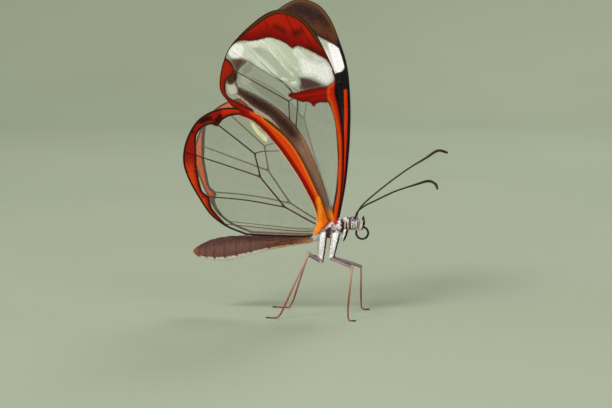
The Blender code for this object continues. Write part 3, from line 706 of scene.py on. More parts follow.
def maths(tree, operation, first, second=0.0, third=0.0, clamp=False):
    settings = {"operation": operation, "use_clamp": clamp}
    return add(tree, "ShaderNodeMath", settings, i0=first, i1=second, i2=third).outputs[0]


def blend_colour(tree, share, first, second, mode="MIX"):
    settings = {"data_type": "RGBA", "blend_type": mode}
    return add(tree, "ShaderNodeMix", settings, i0=share, i6=first, i7=second).outputs[2]


def blend_value(tree, share, first, second):
    return add(tree, "ShaderNodeMix", {"data_type": "FLOAT"}, i0=share, i2=first, i3=second).outputs[0]


def attribute(tree, name, kind):
    return add(tree, "ShaderNodeAttribute", {"attribute_name": name}).outputs[kind]


def noise(tree, place, scale, detail=2.0, rough=0.5):
    node = add(tree, "ShaderNodeTexNoise", Vector=place, Scale=scale, Detail=detail, Roughness=rough)
    return node.outputs["Fac"]


def cells(tree, place, scale):
    """Small cells such as scales or facets: the distance from each one's middle, and its own grey."""
    node = add(tree, "ShaderNodeTexVoronoi", {"feature": "F1"}, Vector=place, Scale=scale)
    return node.outputs["Distance"], add(tree, "ShaderNodeRGBToBW", Color=node.outputs["Color"]).outputs[0]


def speckled(tree, colour, grain, low, reach):
    """A colour whose brightness a grain of 0 to 1 varies, from low up by reach."""
    grey = maths(tree, "MULTIPLY_ADD", grain, reach, low)
    tint = add(tree, "ShaderNodeCombineColor", Red=grey, Green=grey, Blue=grey).outputs[0]
    return blend_colour(tree, 1.0, colour, tint, "MULTIPLY")


def new_material(name):
    """A material, its node tree, its main shader and the surface's place in millimetres."""
    made = bpy.data.materials.new(name)
    made.use_nodes = True
    tree = made.node_tree
    place = add(tree, "ShaderNodeTexCoord").outputs["Object"]
    scaled = add(tree, "ShaderNodeVectorMath", {"operation": "SCALE"}, Vector=place, Scale=1 / MM)
    return made, tree, tree.nodes["Principled BSDF"], scaled.outputs[0]


def set_surface(tree, shader, colour, roughness, specular, height, bump, depth):
    """The main shader's colour and gloss, with bumps of this strength and depth where height rises."""
    tree.links.new(colour, shader.inputs["Base Color"])
    shader.inputs["Roughness"].default_value = roughness
    shader.inputs["Specular IOR Level"].default_value = specular
    bumps = add(tree, "ShaderNodeBump", Strength=bump, Distance=depth * MM, Height=height)
    tree.links.new(bumps.outputs[0], shader.inputs["Normal"])


def wing_material(name, layers):
    """A clear veil under coloured layers that the wing's fields place."""
    made, tree, shader, place = new_material(name)
    ragged = maths(tree, "SUBTRACT", noise(tree, place, 5.0, 3.0, 0.6), 0.5)
    broad = noise(tree, place, 0.9)
    colour = blend_colour(tree, broad, VEIL, VEIL_PALE)
    cover = maths(tree, "MULTIPLY_ADD", broad, 0.1, 0.04)
    fields = {}
    for field, level, softness, raggedness, tint, opacity in layers:
        if field not in fields:
            fields[field] = attribute(tree, field, "Fac")
        value = maths(tree, "SUBTRACT", fields[field], level)
        if raggedness:
            value = maths(tree, "ADD", value, maths(tree, "MULTIPLY", ragged, raggedness))
        mask = maths(tree, "ADD", maths(tree, "DIVIDE", value, softness), 0.5, clamp=True)
        colour = blend_colour(tree, mask, colour, tint)
        cover = blend_value(tree, mask, cover, opacity)
    tree.links.new(cover, shader.inputs["Alpha"])
    height, grey = cells(tree, place, 9.0)
    set_surface(tree, shader, speckled(tree, colour, grey, 0.84, 0.32), 0.5, WING_SHEEN, height, 0.25, 0.03)
    return made


def scaled_material(name, roughness, fineness=14.0):
    """Dull scales in the piece's own tones."""
    made, tree, shader, place = new_material(name)
    height, grey = cells(tree, place, fineness)
    colour = speckled(tree, attribute(tree, "tone", "Color"), grey, 0.78, 0.5)
    set_surface(tree, shader, colour, roughness, 0.15, height, 0.3, 0.03)
    return made


def skin_material(name, roughness):
    """Hard shiny skin in the piece's own tones with a fine grain."""
    made, tree, shader, place = new_material(name)
    grain = noise(tree, place, 22.0, 3.0)
    colour = speckled(tree, attribute(tree, "tone", "Color"), grain, 0.75, 0.5)
    set_surface(tree, shader, colour, roughness, 0.3, grain, 0.2, 0.02)
    return made


def eye_material(name):
    made, tree, shader, place = new_material(name)
    facets, _ = cells(tree, place, 26.0)
    set_surface(tree, shader, attribute(tree, "tone", "Color"), 0.22, 0.5, facets, 0.35, 0.01)
    shader.inputs["Coat Weight"].default_value = 0.2
    shader.inputs["Coat Roughness"].default_value = 0.08
    return made


def wing_point(side, kind, a, b, lift):
    """Places of wing points (a, b), lifted outward from the wing's middle surface."""
    up = np.maximum(b, 0)
    tilt = WING_TILT[side]
    out = FORE_OUT
    if kind == "hind":
        out = HIND_OUT_ROOT + (HIND_OUT_BLADE - HIND_OUT_ROOT) * smooth(b, 0, 6)
    dish = WING_DISH * np.sin(math.pi * np.clip(up / WING_SPAN, 0, 1))
    ripple = WING_RIPPLE * np.sin(a * 1.3 + b * 0.4) * np.sin(b * 0.9) * smooth(up, 1, 5)
    away = out + up * math.sin(tilt) - dish + lift + ripple
    return np.stack([HINGE_X + a, SIDE_SIGN[side] * away, HINGE_Z + b * math.cos(tilt)], axis=1)


def crosswise(slope):
    slope = slope / np.linalg.norm(slope, axis=1)[:, None]
    return np.stack([-slope[:, 1], slope[:, 0]], axis=1)


def inner_ring(ring):
    """Points just inside an outline, which keep its rim even."""
    across = crosswise(np.roll(ring, -1, axis=0) - np.roll(ring, 1, axis=0))
    one_side = ring + across * RIM_STEP
    return np.where(inside(one_side, ring)[:, None], one_side, ring - across * RIM_STEP)


def wing_net(outline, veins):
    """A flat net over a wing, with points along its outline and along and beside its veins."""
    ring = ring_of(outline, CURVE_STEP)
    rim = closed(ring)
    spots = ring.copy()
    edges = []
    beside = [inner_ring(ring)]
    for line, wide, narrow in veins:
        path = even_points(line, CURVE_STEP)
        across = crosswise(np.gradient(path, axis=0))
        keep = inside(path, ring) & (line_distance(path, rim)[0] > VEIN_TO_RIM)
        numbers = []
        for spot in path[keep]:
            gaps = np.linalg.norm(spots - spot, axis=1)
            if gaps.min() < VEIN_MERGE:
                numbers.append(int(gaps.argmin()))
            else:
                numbers.append(len(spots))
                spots = np.concatenate([spots, spot[None]])
        edges += [pair for pair in zip(numbers, numbers[1:]) if pair[0] != pair[1]]
        half = np.linspace(wide, narrow, len(path))[:, None]
        beside += [(path + across * half * way)[keep] for way in (-1, 1)]
    lines = [even_points(vein[0], STRIP_STEP) for vein in veins]
    for row in beside:
        to_vein = np.min([line_distance(row, line)[0] for line in lines], axis=0)
        clear = (to_vein > BESIDE_GAP) & inside(row, ring) & (line_distance(row, rim)[0] > 2 * BESIDE_GAP)
        for spot in row[clear]:
            if np.linalg.norm(spots - spot, axis=1).min() > BESIDE_MERGE:
                spots = np.concatenate([spots, spot[None]])
    low, high = ring.min(0), ring.max(0)
    grid = []
    for row, b in enumerate(np.arange(low[1], high[1], NET_STEP * math.sqrt(0.75))):
        columns = np.arange(low[0] + (row % 2) * NET_STEP / 2, high[0], NET_STEP)
        grid.append(np.stack([columns, np.full(len(columns), b)], axis=1))
    grid = np.concatenate(grid)
    grid = grid[inside(grid, ring)]
    grid = grid[line_distance(grid, rim)[0] > 0.5 * NET_STEP]
    far = np.ones(len(grid), bool)
    for spot in spots[len(ring):]:
        far &= np.linalg.norm(grid - spot, axis=1) > 0.5 * NET_STEP
    flat = [Vector(spot) for spot in np.concatenate([spots, grid[far]])]
    flat, _, triangles, *_ = delaunay_2d_cdt(flat, edges, [list(range(len(ring)))], 1, 1e-6)
    return np.array([tuple(spot) for spot in flat]), [tuple(t) for t in triangles], len(ring)


def build_wing(kind, side, net, fields, materials):
    """A thin closed membrane: its outer face is the underside's colours, its inner face the upper side's."""
    flat, triangles, rim = net
    count = len(flat)
    rise = VEIN_RISE * smooth(fields["vein"], -0.03, 0.06)
    rise[:rim] = 0
    lift = rise + MEMBRANE / 2 * (0.35 + 0.65 * smooth(fields["edge"], 0, 0.5))
    points = np.concatenate([wing_point(side, kind, *flat.T, way * lift) for way in (1, -1)])
    faces = [*triangles, *(tuple(k + count for k in t[::-1]) for t in triangles)]
    uses = {}
    for t in triangles:
        for start, end in zip(t, (*t[1:], t[0])):
            uses.setdefault(frozenset((start, end)), []).append((start, end))
    rim_edges = [pairs[0] for pairs in uses.values() if len(pairs) == 1]
    faces += [(end, start, start + count, end + count) for start, end in rim_edges]
    if SIDE_SIGN[side] > 0:
        faces = [face[::-1] for face in faces]
    made = new_object(f"wing_{kind}_{side}", points, faces, materials)
    slots = np.zeros(len(faces), np.int32)
    slots[len(triangles):2 * len(triangles)] = 1
    made.data.polygons.foreach_set("material_index", slots)
    for key, values in fields.items():
        store(made.data, key, np.concatenate([values, values]))
    lay_out_wing(made.data, flat, len(triangles))
    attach(made, "root")
    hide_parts(f"{kind}wing_{side}")


def lay_out_wing(mesh, flat, per_face):
    """The two faces lie side by side on the bake map, and the rim lies along the first."""
    low, high = flat.min(0), flat.max(0)
    spots = (flat - low) / ((high - low).max() * 1.06) * (0.48, 0.96) + 0.01
    corners = corner_vertices(mesh)
    number = np.repeat(np.arange(len(mesh.polygons)), [face.loop_total for face in mesh.polygons])
    places = spots[corners % len(flat)]
    places[(number >= per_face) & (number < 2 * per_face), 0] += 0.5
    places[(number >= 2 * per_face) & (corners >= len(flat)), 0] += 0.002
    store_bake_map(mesh, places)


def edge_fields(flat, outline, veins):
    """The fields that both wings have: depth in a vein and in the rim, and distance from the edge."""
    edge = line_distance(flat, closed(ring_of(outline, CURVE_STEP)))[0]
    return {"vein": depth_in_strips(flat, veins), "edge": edge, "rim": RIM_WIDTH - edge}


def fore_fields(flat, side):
    """The fore wing's fields, mostly how deep each net point lies in a zone and below zero outside."""
    a, b = flat.T
    fields = edge_fields(flat, FORE_OUTLINE, FORE_VEINS)
    fields.update((name, depth_in(flat, zone)) for name, zone in FORE_ZONES.items())
    apex = fields["apex"]
    at_tip = smooth(b, 23.4, 25.4) * (0.55 + 0.45 * smooth(a, -10.5, -7.5))
    front = -depth_under(flat, FORE_OUTLINE[0][:6]) / (STRIPE_SHARE + (1 - STRIPE_SHARE) * smooth(b, 0, 10))
    low_veins = depth_in_strips(flat, [FORE_VEINS[k] for k in LOW_VEINS])
    return {
        **fields,
        "low_vein": np.minimum(low_veins, (22.5 - b) * 0.3),
        "tip_rim": (TIP_RIM_WIDTH + RIM_STEP) * at_tip - RIM_STEP - fields["edge"],
        "stripe_above": np.minimum(STRIPE_INNER - front, (STRIPE_TOP - b) * 0.3),
        "stripe_root": np.minimum(STRIPE_INNER - front, (6.0 - b) * 0.3),
        "front_above": STRIPE_OUTER - front,
        "apex_vein": np.minimum(apex, fields["vein"] + 0.05),
        "smudges": np.minimum(apex, depth_in_strips(flat, FORE_SMUDGES)),
        "margin": fields["margin"] - MARGIN_NARROWING[side],
        "discal_edge": np.minimum(fields["discal"], 0.05 - fields["costal"]),
        "streak": depth_in_strips(flat, FORE_STREAKS),
        "band_root": np.minimum(fields["band"], (11.5 - b) * 0.2),
        "band_line": depth_under(flat, FORE_BAND_LINE),
        "root": 1.6 - b - 2.4 * smooth(a, 0.1, 0.6),
    }


def hind_fields(flat, side):
    """The hind wing's fields, as the fore wing's."""
    a, b = flat.T
    fields = edge_fields(flat, HIND_OUTLINE, HIND_VEINS)
    fields.update((name, depth_in(flat, zone)) for name, zone in HIND_ZONES.items())
    ends = np.maximum(smooth(b, 1, 11), 0.7 * smooth(-b, -3.4, -2.2))
    border = fields["border"] - BORDER_NARROWING[side] * smooth(-a, 12.5, 15.0) * ends
    costal = fields["costal"]
    return {
        **fields,
        "costa": -line_distance(flat, even_points(HIND_OUTLINE[0][:4], STRIP_STEP))[0],
        "costal": np.minimum(costal, (a + 11.2) * 0.45),
        "costal_edge": np.minimum(costal, -0.1 - border),
        "border": border,
        "border_low": np.minimum(border, (10.5 - b) * 0.2),
        "border_top": np.minimum(border, 1.6 - np.abs(a + 12.2)),
        "border_end": np.minimum(border, (2.9 - b) * 0.4),
        "blots": np.minimum(border, depth_in_strips(flat, HIND_BLOTS)),
        "mark": np.minimum(border, depth_in_strips(flat, HIND_MARKS)),
    }


def build_wings():
    fore_net = wing_net(FORE_OUTLINE, FORE_VEINS)
    hind_net = wing_net(HIND_OUTLINE, HIND_VEINS)
    faint = []
    for *layer, cover in FORE_UNDER:
        faint.append((*layer, cover * FAINT_SHARE if layer[0] in FAINT_FIELDS else cover))
    fore_under = {
        "right": wing_material("fore_under", FORE_UNDER),
        "left": wing_material("fore_under_faint", faint),
    }
    fore_upper = wing_material("fore_upper", FORE_UPPER)
    hind_looks = (wing_material("hind_under", HIND_UNDER), wing_material("hind_upper", HIND_UPPER))
    for side in SIDE_SIGN:
        fore_looks = (fore_under[side], fore_upper)
        build_wing("fore", side, fore_net, fore_fields(fore_net[0], side), fore_looks)
        build_wing("hind", side, hind_net, hind_fields(hind_net[0], side), hind_looks)


def ring_faces(rings, sides):
    """Faces of a body made of one end point, rings of points and another end point."""
    turned = [(j, (j + 1) % sides) for j in range(sides)]
    faces = [(0, 1 + k, 1 + j) for j, k in turned]
    for low in range(1, 1 + (rings - 1) * sides, sides):
        faces += [(low + j, low + k, low + sides + k, low + sides + j) for j, k in turned]
    low = 1 + (rings - 1) * sides
    return faces + [(low + j, low + k, low + sides) for j, k in turned]


def paint_abdomen(x, high, speck):
    """The abdomen's colours: high runs from -1 at the belly to 1 along the back."""
    tone = mix(MAUVE, MAUVE_DARK, smooth(high, 0.1, 0.9))
    tone = mix(tone, WARM_BROWN, smooth(x, -7.5, -3.5) * smooth(0.7 - high, 0.0, 0.6))
    tone = mix(tone, ROSE, 0.35 * smooth(speck, 0.75, 0.95))
    gap = np.abs(x[:, None] - np.array(SEGMENT_EDGES)).min(1)
    tone = mix(tone, MAUVE_DARK, 0.55 * (1 - smooth(gap, 0.06, 0.2)))
    rows = (0.5 + 0.5 * np.sin(2 * math.pi * x / SCALE_ROW)) * smooth(-x, 4.5, 6.5)
    tone = mix(tone, MAUVE_DARK, 0.35 * rows)
    # The rosy streaks at mid-height on the sides are painted highlights.
    for highlight_high, highlight_x, highlight_reach in ABDOMEN_HIGHLIGHTS:
        streak = near(high, highlight_high, 0.04, 0.08) * near(x, highlight_x, highlight_reach, 0.5)
        tone = mix(tone, ROSE, 0.8 * streak)
    drip = 0.14 * (1 - smooth(gap, 0.05, 0.3))
    belly = smooth(-high + 0.08 * (speck - 0.5) - drip, 0.56, 0.68) * smooth(x, -14.6, -13.8)
    tone = mix(tone, mix(BELLY, PEACH, smooth(x, -7.0, -2.0)), belly)
    tone = mix(tone, TAWNY, smooth(-x, 14.2, 14.9))
    return mix(tone, PEACH, smooth(x + 0.5 * speck, -1.4, 1.4) * (0.35 + 0.5 * smooth(-high, -0.4, 0.4)))


def paint_thorax(x, z, high, speck):
    """White and brown sides, a dark speckled back and the wing bases' orange."""
    x = x - 0.25
    tone = mix(THORAX_BROWN, WHITE, smooth(speck, 0.5, 0.6))
    tone = mix(tone, WHITE, smooth(11.3 - z, 0.0, 0.3) * smooth(speck, 0.1, 0.2))
    dark = near(x + 0.3 * (z - 11), 2.95, 0.12, 0.1) * smooth(11.6 - z, 0, 0.3)
    tone = mix(tone, DARK_BROWN, dark)
    patch = near(x - 0.25 * (z - 11.2), 3.1, 0.26, 0.1) * near(z, 11.25, 0.55, 0.15)
    tone = mix(tone, THORAX_BROWN, patch * smooth(speck, 0.1, 0.2))
    back = smooth(high, 0.72, 0.86)
    tone = mix(tone, mix(DARK_BROWN, GREY_WHITE, smooth(speck, 0.72, 0.8)), back)
    # The wing bases spread their orange over the side behind a line of white flecks.
    above = z - (10.85 + 0.62 * (x - 1.3))
    tone = mix(tone, WHITE, near(above, 0.0, 0.1, 0.1) * smooth(speck, 0.3, 0.4) * smooth(3.9 - x, 0, 0.2))
    base = smooth(above, 0.12, 0.22) * smooth(3.75 - x, 0, 0.2) * (1 - back)
    tone = mix(tone, mix(FLAME, BRIGHT_ORANGE, speck), base)
    tone = mix(tone, BRIGHT_RED, near(x, 4.0, 0.22, 0.1) * smooth(z, 12.0, 12.2) * (1 - back))
    tone = mix(tone, WHITE, near(x, 4.45, 0.17, 0.06) * smooth(z, 11.5, 11.8) * smooth(speck, 0.05, 0.1))
    front = near(x, 4.95, 0.3, 0.08) * smooth(speck, 0.06, 0.1)
    return mix(tone, mix(DARK_BROWN, THORAX_BROWN, speck * 0.5), front)


def paint_head(x, y, z, speck):
    """Striped collar, dark crown with white spots, pale cheeks and a white face."""
    stripe = near(x, 5.46, 0.07, 0.03) + near(x, 5.86, 0.08, 0.03)
    tone = mix(COLLAR_PINK, DARK_BROWN, np.clip(stripe, 0, 1))
    tone = mix(tone, WHITE, smooth(z, 12.45, 12.6) * smooth(5.75 - x, 0, 0.1))
    face = smooth(x, 5.92, 6.0)
    tone = mix(tone, mix(CHEEK, WHITE, speck), face)
    tone = mix(tone, mix(CROWN, WHITE, smooth(speck, 0.74, 0.8)), face * smooth(z, 12.66, 12.78))
    ridge = face * near(y, 0.0, 0.09, 0.05) * smooth(z, 12.2, 12.4)
    return mix(tone, CROWN, 0.8 * ridge)


def paint_body(points, high, speck):
    """The colours of skin and coat at places on the body; speck is 0 to 1 and varies them."""
    x, y, z = points.T
    tone = paint_abdomen(x, high, speck)
    tone = mix(tone, paint_thorax(x, z, high, speck), smooth(x, WAIST_X - 0.1, WAIST_X + 0.2))
    return mix(tone, paint_head(x, y, z, speck), smooth(x, NECK_X - 0.12, NECK_X - 0.06))


def skin_at(x):
    """The body's middle height, half height and half width at places along it."""
    last = len(SKIN) - 1
    dense = np.array([curve_at(SKIN, last * k / SKIN_FINENESS) for k in range(SKIN_FINENESS + 1)])
    middle, tall, wide = (np.interp(x, dense[:, 0], dense[:, i]) for i in (1, 2, 3))
    edges = np.array([ABDOMEN_TIP_X, *SEGMENT_EDGES, WAIST_X])
    place = np.clip(np.searchsorted(edges, x) - 1, 0, len(edges) - 2)
    along = (x - edges[place]) / (edges[place + 1] - edges[place])
    step = SEGMENT_STEP * smooth(along, 0.55, 1.0) * smooth(along, 1.0, 0.97)
    step = np.where((x < edges[-2]) & (x > edges[1]), step, 0)
    return middle, tall - step, wide - step


def build_skin():
    """Rings along the whole body, a little closer together at its two ends."""
    share = np.linspace(0, 1, SKIN_RINGS)
    low, high = SKIN[0][0], SKIN[-1][0]
    x = low + (high - low) * (0.8 * share + 0.2 * (1 - np.cos(math.pi * share)) / 2)
    middle, tall, wide = skin_at(x)
    turn = 2 * math.pi * np.arange(SKIN_SIDES) / SKIN_SIDES
    points = np.stack([
        np.broadcast_to(x[:, None], (SKIN_RINGS, SKIN_SIDES)),
        wide[:, None] * np.sin(turn),
        middle[:, None] + tall[:, None] * np.cos(turn),
    ], axis=2).reshape(-1, 3)
    ends = [(x[0] - 0.05, 0, middle[0]), (x[-1] + 0.05, 0, middle[-1])]
    points = np.concatenate([ends[:1], points, ends[1:]])
    heights = np.concatenate([[0], np.tile(np.cos(turn), SKIN_RINGS), [0]])
    speck = RANDOM.random(len(points))
    looks = scaled_material("skin_scales", 0.62)
    made = new_object("skin", points, ring_faces(SKIN_RINGS, SKIN_SIDES), [looks])
    face_outward(made.data)
    store_tones(made.data, paint_body(points, heights, 0.3 + 0.4 * speck))
    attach(made, "root")
    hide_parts("head", "thorax", "abdomen")


def roots_on_body(low, high, gap):
    """Places for scales about a gap apart, their outward ways, heights and spots on the unrolled skin."""
    rows = []
    for x in np.arange(low, high, gap):
        _, tall, wide = skin_at(np.array([x]))
        count = max(5, round(math.pi * (tall[0] + wide[0]) / gap))
        turn = 2 * math.pi * (np.arange(count) + RANDOM.uniform(-0.4, 0.4, count) + RANDOM.random()) / count
        rows.append(np.stack([x + RANDOM.uniform(-0.45, 0.45, count) * gap, turn], axis=1))
    x, turn = np.concatenate(rows).T
    middle, tall, wide = skin_at(x)
    slope = (skin_at(x + 0.1)[1] - skin_at(x - 0.1)[1]) / 0.2
    roots = np.stack([x, wide * np.sin(turn), middle + tall * np.cos(turn)], axis=1)
    out = np.stack([-slope, np.sin(turn) * tall, np.cos(turn) * wide], axis=1)
    out[:, 1:] /= np.linalg.norm(out[:, 1:], axis=1)[:, None]
    spots = np.stack([(x - SKIN[0][0]) / (SKIN[-1][0] - SKIN[0][0]), turn / (2 * math.pi) % 1], axis=1)
    return roots, unit(out), np.cos(turn), spots


def grow_scales(name, roots, out, lie, lift, length, width, tones, spots, material):
    """One piece of closed tapered blades, each rooted just under the skin and lying the way it is told."""
    count = len(roots)
    lie = unit(lie - out * (lie * out).sum(1)[:, None])
    side = np.cross(out, lie)
    lift, length, width = (np.broadcast_to(v, count)[:, None] for v in (lift, length, width))
    thick = width * SCALE_THICKNESS
    start = roots - out * SCALE_SINK - lie * SCALE_SINK
    middle = start + (lie * np.cos(lift * 0.7) + out * np.sin(lift * 0.7)) * length * 0.55 + out * SCALE_SINK
    tip = middle + (lie * np.cos(lift * 1.2) + out * np.sin(lift * 1.2)) * length * 0.45
    points = np.stack([
        start - side * width * 0.35, start + side * width * 0.35, start + out * thick,
        middle - side * width * 0.5, middle + side * width * 0.5, middle + out * thick, tip,
    ], axis=1).reshape(-1, 3)
    shape = ((0, 1, 2), (0, 3, 4, 1), (1, 4, 5, 2), (2, 5, 3, 0), (3, 6, 4), (4, 6, 5), (5, 6, 3))
    faces = [tuple(7 * k + corner for corner in face) for k in range(count) for face in shape]
    made = new_object(name, points, faces, [material])
    # Blades vary in brightness and are a little lighter towards the tip.
    shares = np.array([0, 0, 0, 0.4, 0.4, 0.4, 1.0])
    vary = 0.82 + 0.3 * RANDOM.random(count)[:, None] + 0.12 * shares
    store_tones(made.data, np.clip(np.repeat(tones, 7, axis=0) * vary.reshape(-1, 1), 0, 1))
    patch = np.array([(0, 0), (1, 0), (0.5, 0.2), (0, 0.5), (1, 0.5), (0.5, 0.7), (0.5, 1)]) * BAKE_PATCH
    corners = corner_vertices(made.data)
    store_bake_map(made.data, 0.004 + np.asarray(spots)[corners // 7] * 0.988 + patch[corners % 7])
    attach(made, "root")


def build_coat():
    """Scales on the abdomen, tufts on the thorax, and short hair and an upright collar on the head."""
    looks = scaled_material("coat_scales", 0.6)
    roots, out, high, spots = roots_on_body(-15.0, WAIST_X, ABDOMEN_GAP)
    speck = RANDOM.random(len(roots))
    waist = smooth(roots[:, 0], -1.5, 1.0)
    grow_scales("coat_abdomen", roots, out, np.array([-1.0, 0, -0.15]), 0.1 + 0.2 * waist,
                0.26 + 0.16 * waist + 0.06 * speck, 0.14 - 0.05 * waist, paint_body(roots, high, speck),
                spots, looks)

    roots, out, high, spots = roots_on_body(WAIST_X + 0.1, NECK_X - 0.1, THORAX_GAP)
    speck = RANDOM.random(len(roots))
    x, _, z = roots.T
    keep = (np.abs(out[:, 1]) < 0.93) | (x > 3.9) | (z < 10.9 + 0.62 * (x - 1.3))
    roots, out, high, spots, speck = (v[keep] for v in (roots, out, high, spots, speck))
    ones = np.ones(len(roots))
    lie = np.stack([-ones, 0 * ones, -1.2 * smooth(-high, -0.4, 0.4)], axis=1)
    grow_scales("coat_thorax", roots, out, lie, 0.12 + 0.3 * RANDOM.random(len(roots)), 0.3 + 0.25 * speck,
                0.1, paint_body(roots, high, speck), spots, looks)

    roots, out, high, spots = roots_on_body(NECK_X - 0.05, 7.0, HEAD_GAP)
    speck = RANDOM.random(len(roots))
    eyes = [np.array(EYE_CENTRE) * (1, sign, 1) for sign in SIDE_SIGN.values()]
    to_eye = np.min([np.linalg.norm(roots + out * 0.1 - eye, axis=1) for eye in eyes], axis=0)
    keep = to_eye >= EYE_RADIUS - 0.03
    roots, out, high, spots, speck = (v[keep] for v in (roots, out, high, spots, speck))
    collar = roots[:, 0] < 5.8
    tuft = smooth(high, 0.5, 0.9)
    lie = np.where(collar[:, None], mix((-0.1, 0, -0.7), (-0.8, 0, 0.5), tuft), (0.5, 0, 0.4))
    length = np.where(collar, 0.18 + 0.28 * tuft, 0.16) + 0.12 * speck
    grow_scales("coat_head", roots, out, lie, np.where(collar, 0.2 + 0.7 * tuft, 0.4), length, 0.075,
                paint_body(roots, high, speck), spots, looks)


def build_eyes():
    """Faceted domes with pale and dark upright stripes and dark spots between them."""
    looks = eye_material("eye_facets")
    rise = math.pi * np.arange(1, EYE_RINGS) / EYE_RINGS - math.pi / 2
    turn = 2 * math.pi * np.arange(EYE_SIDES) / EYE_SIDES
    flat = np.stack([
        np.cos(rise)[:, None] * np.cos(turn), np.cos(rise)[:, None] * np.sin(turn),
        np.broadcast_to(np.sin(rise)[:, None], (EYE_RINGS - 1, EYE_SIDES)),
    ], axis=2).reshape(-1, 3)
    out = np.concatenate([[(0, 0, -1)], flat, [(0, 0, 1)]])
    across, _, up = out.T
    bend = across - 0.12 * (1 - up * up)
    tones = np.tile(EYE_GREY, (len(out), 1))
    for place, half in EYE_STRIPES:
        tones = mix(tones, EYE_PALE, near(bend, place, half, 0.08))
    tones = mix(tones, EYE_DARK, near(bend, -0.18, 0.05, 0.06) * near(up, 0.0, 0.3, 0.15))
    for spot_across, spot_up, size in EYE_SPOTS:
        away = np.hypot(across - spot_across, up - spot_up)
        tones = mix(tones, EYE_DARK, 1 - smooth(away, size, size + 0.08))
    tones = mix(tones, EYE_DARK, smooth(up, 0.55, 0.75) * 0.8)
    tones = mix(tones, EYE_DARK, near(bend, -0.75, 0.1, 0.1))
    tones = mix(tones, EYE_GREY, smooth(-up, 0.7, 0.9))
    for side, sign in SIDE_SIGN.items():
        points = np.array(EYE_CENTRE) * (1, sign, 1) + out * EYE_RADIUS
        made = new_object(f"eye_dome_{side}", points, ring_faces(EYE_RINGS - 1, EYE_SIDES), [looks])
        face_outward(made.data)
        store_tones(made.data, tones)
        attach(made, "root")
        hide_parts(f"eye_{side}")


def tube(name, path, radius_at, tone_at, sides, step, looks, node=None):
    """A round limb; radius_at takes shares of its length, tone_at those and the outward ways."""
    line = even_points(path, step)
    count = len(line)
    along = unit(np.gradient(line, axis=0))
    across = np.array([0.0, 1.0, 0.1])
    share = np.linspace(0, 1, count)
    radius = radius_at(share)
    turn = 2 * math.pi * np.arange(sides) / sides
    ways = []
    for way in along:
        across = unit(across - way * (across @ way))
        ways.append(np.cos(turn)[:, None] * across + np.sin(turn)[:, None] * np.cross(way, across))
    ways = np.array(ways)
    points = line[:, None] + ways * radius[:, None, None]
    ends = (line[0] - along[0] * radius[0] * 0.5, line[-1] + along[-1] * radius[-1] * 0.5)
    points = np.concatenate([ends[:1], points.reshape(-1, 3), ends[1:]])
    points[:, 2] = np.maximum(points[:, 2], 0)
    ways = np.concatenate([-along[:1], ways.reshape(-1, 3), along[-1:]])
    shares = np.concatenate([[0], np.repeat(share, sides), [1]])
    made = new_object(name, points, ring_faces(count, sides), [looks])
    face_outward(made.data)
    store_tones(made.data, tone_at(shares, ways))
    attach(made, "root")
    if node:
        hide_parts(node)


def to_side(points, side):
    return [(x, SIDE_SIGN[side] * y, z) for x, y, z in points]


def plain(tone):
    return lambda share, out: np.tile(tone, (len(share), 1))


def front_edged(tone, edge, low, high):
    """A limb's tone with another along its front, which starts between two shares of the turn."""
    return lambda share, out: mix(tone, edge, smooth(out[:, 0], low, high))


def feeler_radius(share):
    rings = 1 - 0.1 * np.abs(np.sin(math.pi * ANTENNA_RINGS * share))
    club = smooth(share, 0.6, 0.95) * (1 - 0.6 * smooth(share, 0.965, 1.0))
    return (ANTENNA_RADIUS + (CLUB_RADIUS - ANTENNA_RADIUS) * club) * rings


def feeler_tone(share, out):
    rings = np.abs(np.sin(math.pi * ANTENNA_RINGS * share))
    tone = mix(FEELER_PALE, FEELER, smooth(rings, 0.1, 0.4))
    return mix(tone, DARK_BROWN, smooth(share, 0.8, 0.86) * 0.7 + smooth(-share, -0.1, 0.0) * 0.9)


def palp_radius(share):
    return 0.2 - 0.13 * smooth(share, 0.45, 1.0)


def palp_tone(share, out):
    return mix(mix(CHEEK, BLACK, smooth(out[:, 0], 0.15, 0.35)), BLACK, smooth(share, 0.68, 0.76))


def brush_radius(share):
    return 0.24 - 0.1 * share


def tongue_radius(share):
    return COIL_THICK_RADIUS * (1 - 0.06 * np.abs(np.sin(40 * math.pi * share)))


def claw_radius(share):
    return 0.028 - 0.02 * share


def leg_path(points, side):
    """Straight runs with a short curve at each joint."""
    path = []
    for before, joint, after in zip(points, points[1:], points[2:]):
        for end in (before, after):
            share = min(JOINT_REACH / math.dist(joint, end), JOINT_SHARE)
            path.append([j + (e - j) * share for j, e in zip(joint, end)])
    return to_side([points[0], *path, points[-1]], side)


